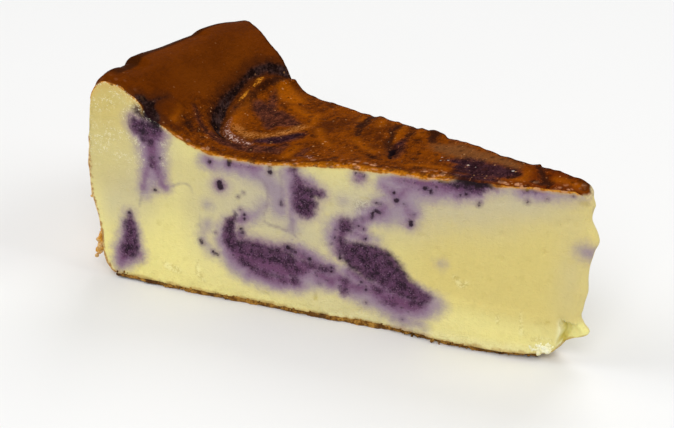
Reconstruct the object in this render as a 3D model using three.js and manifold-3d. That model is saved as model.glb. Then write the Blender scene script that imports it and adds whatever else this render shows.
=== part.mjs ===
// A wedge-shaped slice of baked, berry-marbled cheesecake on a thin crumb base.
// Millimetres, +Z up. The tip points along +X and the "near" cut faces -Y.
// The origin is on the underside, on the centre line, halfway from the tip to the outer wall.
import * as THREE from "three";
import { mergeVertices } from "three/addons/utils/BufferGeometryUtils.js";
import Module from "manifold-3d";

const { lerp, clamp, smoothstep, degToRad } = THREE.MathUtils;

// Plan of the slice. A pair holds the value at the near cut and at the far cut.
const LENGTH = 127; // tip to outer wall: the radius of a ten-inch cake
const SPREAD = degToRad(28.4); // angle between the two cuts
const TIP_WIDTH = 2.6; // the tip is blunt by this much
const TIP_ROUND = 0.9; // and stands out this much in the middle
const TIP_STARTS = 2.4; // how far the blunt tip stops short of the point where the cuts would meet
const TIP_X = LENGTH / 2;

// Heights above the surface that the slice stands on
const BASE_THICKNESS = 1.3;
const TIP_HEIGHT = [45.0, 46.6];
const TOP_FALL = [0.088, 0.093]; // fall of the top for each mm from the tip to the trough
const CREST_HEIGHT = [54.5, 53.0]; // the puffed rim
const CREST_DROOP = [1.2, 1.6]; // how far the crest sinks at each cut
const CREST_DROOP_WIDTH = 0.11; // as a share of the way across
const CREST_AT = [119.6, 122.3]; // the crest's distance from the tip
const RIM_STARTS = 88; // where the top begins to climb to the crest
const CLIMB_POWER = 1.5; // above 1, the climb starts gently

// Outer wall, seen in a cut: a rounded shoulder above, drawn in at the foot below
const SHOULDER_DROP = [12, 9];
const SHOULDER_ENDS = 127;
const WALL_BELLY = 0.7;
const WALL_TOP_INSET = 0.8;
const WALL_FOOT_INSET = 5.5;

// Soft foot of each cut, which bulges where the slice has settled
const FOOT_BULGE = [1.0, 0.7];
const FOOT_BELLY = [2.2, 1.2]; // added round FOOT_BELLY_AT
const FOOT_BELLY_AT = 36;
const FOOT_BELLY_WIDTH = 26;
const FOOT_HEIGHT = 10;
const FOOT_STARTS = [4, 30]; // the bulge grows between these distances from the tip

// Tip: a lump left by the knife half way up, and a smeared toe whose underside has broken away
const LUMP = { height: 31.5, width: 4.2, out: 2.2 };
const TOE = { height: 8, width: 3, out: 1.8 };
const TIP_LEAN = 1.2; // how far the foot of the tip stands out beyond its top
const TOE_LIFT = 5.5;
const TOE_REACH = 30;
const TIP_RELIEF_REACH = 3.5;

// Knife drag on the cuts
const DRAG = [0.22, 0.3];
const DRAG_PITCH = 31;

// Split in the top where the puffed rim has torn away, as plan points from the tip's axis.
const SPLIT = new THREE.SplineCurve(
  [
    [-103.5, 27],
    [-107, 21],
    [-108, 13],
    [-106.8, 5],
    [-104, -2],
    [-100.5, -8.5],
    [-95.5, -12.6],
    [-89, -14],
  ].map(([x, y]) => new THREE.Vector2(x, y)),
);
const SPLIT_DEPTH = 1.2;
const SPLIT_HALF_WIDTH = 2.2;
const SPLIT_STEP = 1.8; // the marbled middle lies this much under the rim's torn skin
const SPLIT_STEP_REACH = 7;
const SPLIT_SAMPLES = 60;
// Where the torn line meets the near cut: a pit of dark berry
const NEAR_PIT = { x: -107.6, y: -26.8, radius: 3.4, depth: 1.8 };

// Flakes of browned crust that stand off the outer wall: share across, height, turn, size
const FLAKES = [
  { s: 0.012, z: 6.5, turn: 0.35, size: [0.9, 2.2, 2.6] },
  { s: 0.36, z: 5.0, turn: -0.3, size: [0.8, 2.8, 1.8] },
  { s: 0.71, z: 8.0, turn: 0.25, size: [0.8, 2.2, 2.2] },
];
const FLAKE_SINK = 0.35; // how far a flake's middle lies inside the wall

// Facets: along the slice, across it and up it. They lie closer together towards the rim.
const ALONG = 60;
const ACROSS = 22;
const UPWARD = 13;
const PACKING = 1.5;

// Crumb base: it has come away under the tip, and its edge is ragged
const BASE_STARTS = 10.5;
const BASE_ALONG = 64;
const BASE_ACROSS = 8;
const BASE_INSET = 0.3;
const BASE_RAGGED = 0.4;
const BASE_GAP = 0.3; // where the underside curves up, the base stays this much clear of the body

const CREAM = new THREE.MeshStandardMaterial({ color: 0xe6da9a, roughness: 0.55, metalness: 0 });
const CRUMB = new THREE.MeshStandardMaterial({ color: 0x8a5a20, roughness: 0.85, metalness: 0 });

const across = ([near, far], s) => lerp(near, far, s);
const hump = (x, centre, width) => Math.exp(-(((x - centre) / width) ** 2));

const splitPoints = SPLIT.getSpacedPoints(SPLIT_SAMPLES);

// Nearest place on the split to a plan point: the distance, the share of the way along the split,
// and the signed distance across it, which is positive on the tip's side.
function besideSplit(point) {
  const distances = splitPoints.map((p) => p.distanceTo(point));
  const distance = Math.min(...distances);
  const share = distances.indexOf(distance) / SPLIT_SAMPLES;
  const offset = point.clone().sub(splitPoints[distances.indexOf(distance)]);
  return { distance, share, aside: SPLIT.getTangentAt(share).cross(offset) };
}

// Relief of the top: the split's groove, the step down behind it, and the pit by the near cut.
function topRelief(x, y) {
  const { distance, share, aside } = besideSplit(new THREE.Vector2(x, y));
  const fade = 1 - smoothstep(share, 0.75, 1);
  const groove = SPLIT_DEPTH * fade * hump(distance, 0, SPLIT_HALF_WIDTH);
  const step = SPLIT_STEP * fade * smoothstep(aside, -1, 2) * Math.exp(-distance / SPLIT_STEP_REACH);
  const pit = NEAR_PIT.depth * hump(Math.hypot(x - NEAR_PIT.x, y - NEAR_PIT.y), 0, NEAR_PIT.radius);
  return -groove - step - pit;
}

// Height of the top at distance u from the tip and share s of the way across.
function topHeight(u, s) {
  const crestAt = across(CREST_AT, s);
  const levelAt = (distance) => across(TIP_HEIGHT, s) - across(TOP_FALL, s) * distance;
  const droop = CREST_DROOP[0] * hump(s, 0, CREST_DROOP_WIDTH) + CREST_DROOP[1] * hump(s, 1, CREST_DROOP_WIDTH);
  const crest = across(CREST_HEIGHT, s) - droop;
  const climb = clamp((u - RIM_STARTS) / (crestAt - RIM_STARTS), 0, 1) ** CLIMB_POWER;
  const rim = (crest - levelAt(crestAt)) * smoothstep(climb, 0, 1);
  const over = clamp((u - crestAt) / (SHOULDER_ENDS - crestAt), 0, 1);
  const shoulder = across(SHOULDER_DROP, s) * (1 - Math.sqrt(1 - over * over));
  const angle = (s - 0.5) * SPREAD;
  return levelAt(Math.min(u, crestAt)) + rim - shoulder + topRelief(-u * Math.cos(angle), u * Math.sin(angle));
}

// How far a cut stands out from its flat plane.
function cutBulge(u, z, s) {
  const foot = across(FOOT_BULGE, s) + across(FOOT_BELLY, s) * hump(u, FOOT_BELLY_AT, FOOT_BELLY_WIDTH);
  const drag = across(DRAG, s) * Math.sin(u / (DRAG_PITCH / (2 * Math.PI)) + z / 9);
  return foot * smoothstep(u, ...FOOT_STARTS) * hump(z, 0, FOOT_HEIGHT) + drag * smoothstep(u, 4, 20);
}

// How far the underside near the tip clears the surface.
const toeLift = (u) => TOE_LIFT * Math.max(0, 1 - u / TOE_REACH) ** 2;

// A point of the body: shares of the way from tip to rim, near to far, and bottom to top.
function bodyPoint(along, s, up) {
  const belly = WALL_BELLY * Math.sin(Math.PI * up);
  const wall = LENGTH + belly - WALL_FOOT_INSET * (1 - up) ** 4 - WALL_TOP_INSET * up ** 6;
  const u = lerp(TIP_STARTS, wall, 1 - (1 - along) ** PACKING);
  const z = lerp(BASE_THICKNESS + toeLift(u), topHeight(u, s), up);
  const angle = (s - 0.5) * SPREAD;
  const side = 2 * s - 1;
  const halfTip = (TIP_WIDTH / 2) * (1 - u / LENGTH);
  const lumps = LUMP.out * hump(z, LUMP.height, LUMP.width) + TOE.out * hump(z, TOE.height, TOE.width);
  const tipRelief = lumps + TIP_LEAN * (1 - up) + TIP_ROUND * (1 - side * side);
  return new THREE.Vector3(
    TIP_X - u * Math.cos(angle) + tipRelief * hump(u, TIP_STARTS, TIP_RELIEF_REACH),
    u * Math.sin(angle) + side * (halfTip + cutBulge(u, z, s)),
    z,
  );
}

// A subdivided box whose points are moved by a function of the shares along, across and up.
function mappedBox(pointAt, alongSteps, acrossSteps, upSteps) {
  const box = new THREE.BoxGeometry(1, 1, 1, alongSteps, acrossSteps, upSteps);
  const position = box.getAttribute("position");
  for (let i = 0; i < position.count; i++) {
    const p = pointAt(0.5 - position.getX(i), 0.5 + position.getY(i), 0.5 + position.getZ(i));
    position.setXYZ(i, p.x, p.y, p.z);
  }
  box.computeVertexNormals();
  return box;
}

// A flake of crust: a flattened ball, half sunk in the outer wall.
function flakeGeometry({ s, z, turn, size }) {
  const up = z / CREST_HEIGHT[0];
  const at = bodyPoint(1, s, up);
  return new THREE.SphereGeometry(1, 9, 6)
    .scale(...size)
    .rotateY(turn)
    .rotateZ(-(s - 0.5) * SPREAD)
    .translate(at.x + FLAKE_SINK, at.y, z);
}

const wasm = await Module();
wasm.setup();

function toSolid(geometry) {
  const bare = geometry.clone();
  bare.deleteAttribute("normal");
  bare.deleteAttribute("uv");
  const merged = mergeVertices(bare, 1e-4);
  return new wasm.Manifold(
    new wasm.Mesh({
      numProp: 3,
      vertProperties: new Float32Array(merged.getAttribute("position").array),
      triVerts: new Uint32Array(merged.index.array),
    }),
  );
}

function toGeometry(solid) {
  const { vertProperties, triVerts } = solid.getMesh();
  const geometry = new THREE.BufferGeometry();
  geometry.setAttribute("position", new THREE.BufferAttribute(vertProperties, 3));
  geometry.setIndex(new THREE.BufferAttribute(triVerts, 1));
  geometry.computeVertexNormals();
  return geometry;
}

function makeCheesecake() {
  const flakes = FLAKES.map(flakeGeometry).map(toSolid);
  const solid = flakes.reduce((body, flake) => body.add(flake), toSolid(mappedBox(bodyPoint, ALONG, ACROSS, UPWARD)));
  const mesh = new THREE.Mesh(toGeometry(solid), CREAM);
  mesh.name = "cheesecake";
  return mesh;
}

// A point of the base, with the shares of bodyPoint. It follows the body's underside with a ragged edge.
function basePoint(along, s, up) {
  const wall = LENGTH - WALL_FOOT_INSET;
  const u = lerp(BASE_STARTS, wall, along);
  const angle = (s - 0.5) * SPREAD;
  const side = 2 * s - 1;
  const ragged = BASE_RAGGED * (Math.sin(u * 0.71 + s * 41) + 0.6 * Math.sin(u * 1.63 + s * 67));
  const halfTip = (TIP_WIDTH / 2) * (1 - u / LENGTH);
  const reach = halfTip + cutBulge(u, 0, s) - BASE_INSET - ragged;
  const raggedEnd = BASE_RAGGED * Math.sin(s * 29) * (2 * along - 1);
  const gap = BASE_GAP * (1 - smoothstep(u, TOE_REACH, TOE_REACH + 3));
  return new THREE.Vector3(
    TIP_X - u * Math.cos(angle) + raggedEnd,
    u * Math.sin(angle) + side * reach,
    toeLift(u) + up * (BASE_THICKNESS - gap),
  );
}

function makeCrumbBase() {
  const geometry = mappedBox(basePoint, BASE_ALONG, BASE_ACROSS, 1);
  const mesh = new THREE.Mesh(geometry, CRUMB);
  mesh.name = "crumb_base";
  return mesh;
}

const slice = new THREE.Group();
slice.add(makeCheesecake(), makeCrumbBase());

export default slice;
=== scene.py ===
"""The looks of a slice of fruit-marbled cheesecake: cut filling, browned skin, crumb base and crumbs.

Lengths are in millimetres until a mesh is made. "u" is the distance from the axis where the two cuts would
meet, "s" runs from 0 at the near cut to 1 at the far cut, and "z" is the height above the floor.
"""

import math

import bpy
import numpy as np
from mathutils import Matrix


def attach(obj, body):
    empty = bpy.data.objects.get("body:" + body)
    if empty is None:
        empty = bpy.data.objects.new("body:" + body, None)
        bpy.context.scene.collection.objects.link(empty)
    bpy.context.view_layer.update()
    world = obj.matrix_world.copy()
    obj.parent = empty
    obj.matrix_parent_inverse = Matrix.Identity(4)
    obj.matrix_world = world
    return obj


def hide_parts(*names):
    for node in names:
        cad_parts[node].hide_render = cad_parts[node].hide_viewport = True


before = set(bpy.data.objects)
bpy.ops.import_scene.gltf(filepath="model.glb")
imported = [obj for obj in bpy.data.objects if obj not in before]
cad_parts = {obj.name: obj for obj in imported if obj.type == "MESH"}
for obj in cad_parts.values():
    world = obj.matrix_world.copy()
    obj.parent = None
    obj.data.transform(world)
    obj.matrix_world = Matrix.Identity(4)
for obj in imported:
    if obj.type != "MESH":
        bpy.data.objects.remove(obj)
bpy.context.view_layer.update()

# Plan of the slice. A pair holds the value at the near cut and at the far cut.
LENGTH = 127
SPREAD = math.radians(28.4)
TIP_WIDTH = 2.6
TIP_ROUND = 0.9
TIP_STARTS = 2.4
TIP_X = LENGTH / 2

# Heights
BASE_THICKNESS = 1.3
TIP_HEIGHT = (45, 46.6)
TOP_FALL = (0.088, 0.093)
CREST_HEIGHT = (54.5, 53)
CREST_DROOP = (1.2, 1.6)
CREST_DROOP_WIDTH = 0.11
CREST_AT = (119.6, 122.3)
RIM_STARTS = 88
CLIMB_POWER = 1.5
SHOULDER_DROP = (12, 9)
SHOULDER_ENDS = 127
SHOULDER_SQUARE = 2.6

# Outer wall: (z, distance from the axis), and the width and height that its blisters cover
WALL_EDGE = [
    (1.3, 120.2), (2, 121.2), (4, 122.6), (6, 123.5), (8, 124), (10, 124.2), (12, 124.6), (15, 125.2),
    (20, 126.4), (24, 126.9), (28, 127.2), (32, 127.4), (36, 127.8), (40, 127.8), (44, 127.5), (48, 126.9),
    (53, 126.3),
]
WALL_HEIGHT = 50
WALL_SPAN = (62, 46)

# Soft foot of the cuts: (u, how far it stands out) along the near cut, and a plain swelling on the far cut
NEAR_FOOT = [
    (0, 0), (8, 0.9), (14, 1.9), (20, 2.6), (26, 2.8), (32, 2.5), (38, 1.6), (44, 1.2), (50, 1.3),
    (56, 1.6), (64, 1.9), (76, 2), (90, 2.2), (112, 2.2), (122, 1.9),
]
FAR_FOOT = 0.7
FAR_FOOT_STARTS = (4, 30)
FAR_BELLY = 1.2
FAR_BELLY_AT = 36
FAR_BELLY_WIDTH = 26
FOOT_HEIGHT = 10

# Tip: (z, how far it stands out), then the toe: (u, how far it is lifted), and where its near side is gone
TIP_EDGE = [
    (4, 0.2), (6.6, 1), (7.6, 1.9), (8.6, 2.6), (9.2, 2.5), (10, 1.5), (10.8, 0.9), (11.6, 0.5),
    (12.8, 0.25), (14.4, 0.55), (16, 0.7), (17.4, 0.95), (19, 1.25), (20.5, 1.2), (22.5, 0.95), (25, 0.95),
    (26.6, 1.1), (28.5, 1.5), (30.5, 1.9), (32, 2.5), (33, 2.65), (34.4, 2.15), (35.5, 1.5), (36.4, 0.9),
    (37.4, 0.35), (38.6, 0.2), (40.4, 0.45), (41.2, 0.7), (41.9, 0.6), (43.6, 0), (47, 0),
]
TIP_RELIEF_REACH = 3.5
TIP_WEAR = 1.5
TIP_WEAR_REACH = 3.2
TOE_LIFT = [
    (2.4, 6.7), (2.8, 6.1), (4.2, 4.6), (5.3, 3.2), (5.7, 2), (7.1, 1.3), (9, 0.8), (12, 0.5), (16, 0.25),
    (22, 0.05), (26, 0), (130, 0),
]
TOE_BREAK = 5.7
TOE_TOP = 11.3
TOE_DEPTH = 1.9
TOE_CREVICE = 0.9
TOE_FILL = 0.8
TOE_EDGE_SOFT = 0.05
TOE_TOP_SOFT = 0.15

# Relief of the cuts: long waves, a crease, a scuffed patch at (u, z), bubbles laid bare and the moist part
DRAG = (0.22, 0.3)
DRAG_PITCH = 31
DRAG_LEAN = 9
DRAG_STARTS = (4, 20)
CREASE_DEPTH = 0.4
CREASE_BAND = (11.4, 12.8)
CREASE_SPAN = (8, 48, 6)
FAR_CREASE = 0.4
SCUFF = (55, 31.4)
SCUFF_REACH = (4.5, 2.6)
SCUFF_DEPTH = 0.45
PORES = 90
PORES_ALONG = (4, 124)
PORES_UPWARD = (2, 44)
PORE_SIZE = (0.35, 0.8)
PORE_DEPTH = 0.6
PORE_SEED = 31
WET_SPAN = (106, 130, 4)
WET_RISE = (26, 36)
WET_GRAIN = 0.16
FRUIT_SUNK = 0.12
FRUIT_PITTED = 0.14
FRUIT_EDGE = (-0.6, 0.4)
FOOT_CRUMBLE = 0.3

# Where a place that stands out from the near cut is seen on its plane: a shift, and a slant for each mm out
SEEN_SHIFT = (0.35, 0.2)
SEEN_SLANT = (0.32, -0.53)

# How far the marks on the top are moved, in plan, where the rim climbs
SEEN_DIP = (0.7, 0.2)
SEEN_DIP_STARTS = (75, 100)

# Relief of the top: the split, as plan points from the tip's axis, then the pit, knob, cracks and worn edges
SPLIT = [
    (-100.8, 27.6), (-103.6, 24.2), (-106.2, 19), (-107.1, 13), (-106.3, 5), (-104.6, -1), (-101.6, -7.5),
    (-96.5, -12.4), (-89, -14),
]
SPLIT_DEPTH = 1.5
SPLIT_HALF_WIDTH = 1.5
SPLIT_STEP = 1.8
SPLIT_STEP_REACH = 7
SPLIT_LIP = (-0.8, 1.2)
SPLIT_FADES = (0.75, 1)
NEAR_PIT = (-107.6, -26.8)
NEAR_PIT_RADIUS = 3
NEAR_PIT_DEPTH = 1.6
KNOB = (-50.2, 11.8)
KNOB_RADIUS = 1.8
KNOB_RISE = 0.8
TORN_RISE = 0.5
TORN_REACH = 0.5
CRACK_DEPTH = 0.7
SEAM_DEPTH = 0.25
CRACK_REACH = 0.6
EDGE_WEAR = 0.16
EDGE_WEAR_REACH = 0.8
MIDDLE_ENDS = (100, 110)
RIM_GRAIN = 0.03
MIDDLE_GRAIN = 0.05

# Small corrections read from the photograph: (u, rise) along both edges, and (s, rise) along the crest
NEAR_LIFT = [
    (0, 0.4), (12, 0.7), (20, 0.7), (36, 0.9), (48, 1.4), (56, 1.7), (60, 1.8), (68, 1.3), (76, 1),
    (86, 1.1), (92, 1.6), (96, 1.8), (100, 1.5), (104, 0.9), (108, -0.4), (112, -1.2), (116, -0.65),
    (118, -0.5), (120, -0.6), (123, 0.5), (128, 0.9),
]
NEAR_LIFT_REACH = 0.3
FAR_LIFT = [
    (0, 0.1), (12, 0.2), (17.4, 0.05), (18.3, 0.6), (19.4, 0), (22, -0.35), (30, -0.05), (40, 0.45),
    (46.8, -0.2), (48.4, 0.5), (52, 0.75), (56, 0.6), (60, 0.3), (66, 0.3), (70, 0.3), (76, -0.35),
    (84, -0.2), (94, 0.05), (100, 0.3), (102, 0.9), (103.4, 1.6), (108, 1.2), (112, 0.6), (116, 0.2),
    (120, -0.15),
]
FAR_LIFT_REACH = 0.25
CREST_LIFT = [
    (0, 0.9), (0.05, 0.6), (0.12, 0.4), (0.26, 0.1), (0.4, -0.4), (0.52, -0.5), (0.7, 0), (1, 0),
]
CREST_STEPS = [
    (0, 1.5), (0.03, 1.7), (0.056, 0.6), (0.1, -0.15), (0.13, -0.6), (0.167, -1.35), (0.194, -1.4),
    (0.222, -1.55), (0.24, -1.6), (0.252, -0.7), (0.262, -0.1), (0.33, -0.1), (0.44, -0.5), (0.55, -0.8),
    (0.655, -1.2), (0.69, -1.25), (0.705, -0.8), (0.73, -0.45), (0.75, -0.4), (0.87, -0.2), (1, 0.2),
]
CREST_STEPS_REACH = 4
RIM_ROLL = 2.4
RIM_ROLL_WIDTH = 0.05
RIM_ROLL_STARTS = (112, 119)

# Unevenness: layers of (height, size, seed)
SPLIT_RAGGED = [(0.45, 2.2, 11), (0.25, 0.9, 12)]
TOP_RIPPLE = [(0.16, 6.5, 13), (0.06, 2.4, 14)]
CUT_RIPPLE = [(0.05, 2.5, 22), (0.03, 1, 23)]
CUT_WAVES = ([(0.14, 8, 21), *CUT_RIPPLE], [(0.14, 8, 71), *CUT_RIPPLE])
WALL_BLISTERS = [(0.22, 6, 41), (0.14, 2.2, 42), (0.06, 1.1, 43)]
BASE_RAGGED = [(1, 3, 51), (0.8, 1.1, 52)]

# Grids: steps along, across and up
BODY_STEPS = (262, 72, 88)
BASE_STEPS = (420, 20, 4)
LUMP_STEPS = (3, 3, 3)
PACKING = 0.45
SHARP_ANGLE = math.radians(55)

# Crumb base
BASE_STARTS = 10
BASE_ENDS = 119.2
BASE_INSET = 0.15
BASE_TOE_INSET = 0.9
BASE_TOE_ENDS = 30
BASE_EDGE = 0.35
BASE_WORN = 1
BASE_WORN_STARTS = (103, 118)
BASE_WORN_ENDS = (0.05, 0.3)
BASE_UNDER = 0.12

# Loose crumbs: small uneven lumps, joined into one mesh for each kind
LUMP_STRETCH = (0.55, 1.15)
LUMP_KNOBS = 0.22
BASE_CRUMBS = (320, 160)
BASE_CRUMB_SIZE = (0.12, 0.42)
BASE_CRUMBS_STOP = 9
CORNER_CRUMBS = 6
CORNER_UP = (0.8, 2.4)
TOE_CRUMBS = 64
TOE_CRUMB_SIZE = (0.3, 0.85)
TOE_HEAP = (8.8, 3.3)
TOE_HEAP_SPREAD = (1.05, 0.6)
TOE_HEAP_SUNK = (0.5, 0.95)
WALL_CRUMBS = 90
WALL_CRUMB_SIZE = (0.2, 0.5)
WALL_CRUMBS_UP = (3, 26)
BEYOND_WALL = LENGTH + 2.0

# Seeds of the crumbs: one for their places and sizes, one for their shapes
BASE_CRUMB_SEEDS = (71, 72)
TOE_CRUMB_SEEDS = (73, 74)
WALL_CRUMB_SEEDS = (75, 76)

# Shades of crumb: dark, middle and light
BASE_SHADES = ((60, 30, 4), (110, 68, 14), (182, 134, 56))
CREAM_SHADES = ((248, 238, 168), (255, 249, 200), (255, 253, 222))
FLAKE_SHADES = ((168, 104, 20), (214, 150, 44), (226, 186, 124))

# Flake of crust that hangs beside the foot of the wall: (u, z, size)
FLAKE = [
    (124.5, 12.2, 0.5), (124.6, 11.2, 0.7), (125, 10.2, 0.8), (125.2, 9.2, 0.85), (124.7, 8.6, 0.8),
    (124.9, 7.8, 0.9), (125.2, 6.9, 1), (124.7, 7.2, 0.8), (125.4, 6, 1), (125.7, 5.2, 0.9),
    (125.9, 4.5, 0.6),
]
FLAKE_BACK = 0.02

# Grain of the skin, a little longer across the slice than along it, and of the cuts' upright streaks
SKIN_STRETCH = (1, 0.6, 1)
STREAK_STRETCH = (1, 1, 0.12)

# Light that comes back out of the filling: how far red, green and blue spread, times a length in metres
GLOW_RADIUS = (1, 0.7, 0.35)
GLOW_SCALE = 0.002

# Stage: lights as (name, place and size in metres, watts), and the floor's greys as linear values
LIGHTS = [
    ("front", (0.5, -1.1, 1.2), 1, 14),
    ("left", (-1.2, -0.5, 1.1), 0.9, 9),
    ("back", (-0.3, 1.2, 1.3), 1, 10),
    ("right", (1.2, 0.5, 1.2), 0.9, 8),
]
WORLD_STRENGTH = 0.3
FLOOR_SIZE = 6
FLOOR_STEPS = 8
FLOOR_GREYS = ((0.82, 0.82, 0.815, 1), (0.84, 0.84, 0.835, 1))

# Camera, fitted to the photograph's edges: angles in degrees, lengths in mm, focal length in pixels
CAMERA_BEARING = 31.9
CAMERA_RISE = 26.7
CAMERA_ROLL = 1.92
CAMERA_DISTANCE = 398
CAMERA_FOCAL = 1600
CAMERA_TARGET = (-3, -4.7, 22)
CAMERA_SENSOR = 36
IMAGE_WIDTH = 674

# Fruit on the near cut: strokes of (u, z, radius), and single specks. A radius under 0 leaves a faint mark.
NEAR_CORES = [
    [(114.2, 47.4, 1), (112.8, 47, 1.8), (110.8, 46.2, 2.3), (108.8, 45.4, 1.4)],
    [(115.4, 44.4, 0.6), (114.6, 42.8, 1.2), (112.6, 42.2, 2), (109.8, 42.4, 1.8), (108.2, 42.8, 0.7)],
    [(112.6, 39.6, 0.7), (111, 39.2, 0.8)],
    [(110.6, 34.2, 0.4), (110.5, 33, 0.6)],
    [(117, 18.8, 0.1), (117, 16, 1.2), (116.8, 12, 1.7), (117.1, 8.8, 2.1), (117.2, 7.6, 1.9)],
    [(73.6, 38.3, 0.5), (73, 38.2, 0.6), (72.7, 37, 0.2), (72.3, 35.4, 0.5)],
    [(71.8, 33.6, 1.3), (71.2, 31, 2), (70.6, 29.2, 2.8), (70.2, 28.6, 2.5)],
    [(70.4, 32.4, 1.7), (68.6, 32.6, 1.2), (67, 32.8, 0.6), (66, 32.8, 0.2)],
    [(69, 29.6, 1.7)],
    [(88.4, 23.2, 0.2), (89.4, 21.4, 0.7), (89.9, 19.6, 1.1), (89.9, 17.4, 1.5), (89.2, 15.4, 1.6),
     (87.2, 14.4, 1.7), (84.6, 14.4, 2), (82, 14, 2.1), (79, 14, 2), (76, 13.9, 2), (73.8, 13.8, 1.4)],
    [(75, 16.8, 0.7), (73.4, 16.6, 0.7)],
    [(86.8, 19.6, 0.2), (86.4, 18.2, 0.2)],
    [(74.8, 12, 0.9), (72.8, 11, 1), (71, 11.2, 0.7)],
    [(86.4, 11.2, 0.8), (84.6, 10, 0.7), (82.2, 8.8, 0.6), (79, 8.4, 0.4), (77, 8.2, 0.2)],
    [(75.6, 7.6, 0.4)],
    [(72.6, 8.4, 0.8)],
    [(70.2, 13.5, 0.6), (67, 12.9, 0.6), (64.4, 12.8, 0.5), (63.3, 13, 0.5)],
    [(60.2, 25.5, 1.3), (59.7, 26.2, 1.2), (58.8, 25, 0.7)],
    [(60.6, 23.6, 0.5), (60.6, 20.8, 0.8), (60.2, 18.4, 0.9)],
    [(58.8, 19.8, 1.6), (56, 19, 2.7), (52.8, 17.8, 3.6), (50, 16.2, 4.2), (47.2, 14, 3.5),
     (44.4, 11.9, 2.7), (41.6, 10.4, 1.9), (39.6, 10.3, 1.4), (38.4, 10.7, 0.6)],
    [(59.2, 17, 1.3), (56.4, 15.6, 1.9), (53, 14, 2.1)],
    [(52.4, 10.2, 0.3), (50.6, 9.6, 0.4)],
    [(47.4, 6.9, 0.4)],
    [(49.6, 7, 0.4)],
    [(42.2, 8, 0.7), (40.4, 8.8, 0.9)],
    [(59.4, 10.6, 0.7)],
    [(59.8, 8, 0.9)],
    [(36.8, 41.6, 0.1), (33.8, 41.5, 0.7), (31, 41.8, 1.2), (28.6, 41.8, 1.4), (26.4, 42.6, 1.1),
     (24.6, 43.2, 0.6)],
    [(31, 40.6, 0.4), (31, 39.4, 0.3)],
    [(17.4, 43.2, 0.4), (15.6, 43.5, 0.2)],
]
NEAR_HALOS = [
    [(115.6, 44.4, 0.8), (113, 42.4, 2.6), (110.4, 41, 2.6), (108.2, 41.4, 1.6)],
    [(110.6, 40, 2), (110.4, 36, 1.7), (110, 33, 1.5), (108.8, 30.6, 0.8), (108.3, 28.6, 0.7),
     (107.2, 27.2, 0.3)],
    [(111.6, 32, 0.6), (112.6, 28.4, 0.1), (113.2, 25.8, -0.2)],
    [(117, 17.6, 0.7), (117, 12, 1.7), (117.5, 8, 2.6), (118.7, 5.6, 1.9), (119.6, 3.8, 0.6)],
    [(114.6, 6.8, 0.7)],
    [(95.2, 36.4, 0.7)],
    [(90.2, 36.9, 0.8), (87, 36.8, 0.8), (84, 36.8, 0.8), (82.4, 37.4, 0.5)],
    [(92.5, 30.7, 1.2)],
    [(73.6, 37.6, 0.9), (72.4, 35.6, 1.4), (71.4, 32, 2.5), (70.6, 29.2, 3.2)],
    [(71, 35.4, 1), (68.6, 34, 0.9), (66.4, 33, 0.6)],
    [(89.6, 20, 1.3), (89.4, 16, 2.2), (87, 12.6, 3), (82, 11.6, 3.4), (77, 11.2, 3.6), (72, 11.6, 3.2),
     (68, 12.8, 1.6), (63.4, 12.8, 0.9)],
    [(87, 22, 0.8), (86, 23, 0.6)],
    [(87.6, 18.4, 0.8), (86, 16.4, 1.4), (80, 15.8, 1.4), (74, 16.2, 1.4), (69.6, 14.8, 1.4),
     (65.6, 13.6, 0.9), (63.2, 13.4, 0.7)],
    [(84, 8.4, 1.4), (78, 7.4, 1.6), (72.4, 7.8, 1.8)],
    [(60.2, 25.2, 2), (61.6, 21.6, 1.5), (60.8, 18.4, 1.4)],
    [(57.4, 26.4, 0.7), (55.6, 25.8, 0.5)],
    [(59, 19.4, 2.4), (53.6, 17.2, 3.7), (50.2, 14.8, 4), (45.6, 11.2, 2.9), (41, 9.8, 1.9)],
    [(58, 13, 0.9), (54.4, 11.2, 1.2), (50, 9.8, 1.6)],
    [(52.6, 9.2, 1.4), (48, 8, 2.7), (43, 7.6, 2.6), (40, 7.8, 1.5)],
    [(61, 10.8, 1.6), (59.4, 9.2, 2), (56.6, 9.6, 1.6), (54, 9.8, 1.3)],
    [(67, 11, 1.4), (63, 10, 1.6)],
    [(48, 40.2, 0.8), (43, 40.2, 1.7), (38, 40.4, 1.9), (34, 40.4, 1.7), (29.6, 41.2, 1.9), (25, 42.8, 1)],
    [(50.6, 37.6, 0.3), (47.4, 35.8, 0.8), (45, 38.4, 0.4), (41.4, 38.8, 0.8), (38.6, 38.6, 0.7)],
    [(50, 32.6, 0.4), (51.6, 30.8, 0.8), (54.4, 29, 0.3), (57, 27, 0.3)],
    [(45, 33.4, 0.2), (43.8, 30, 0.6)],
    [(58, 24, 0.6), (55.4, 23.6, 0.4)],
    [(33.4, 38.8, 1)],
    [(48.4, 36.6, 0.3), (47.6, 34.8, 0.7)],
    [(57, 39.3, 1.1)],
    [(43.8, 29.6, 0.7), (43.4, 31.6, 0.1)],
    [(57, 26.8, 0.5), (54.4, 28.6, 0.5), (51.6, 30.8, 0.7)],
    [(18, 43, 0.4), (15.4, 43.2, 0.3), (12.4, 43, -0.2)],
]
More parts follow.
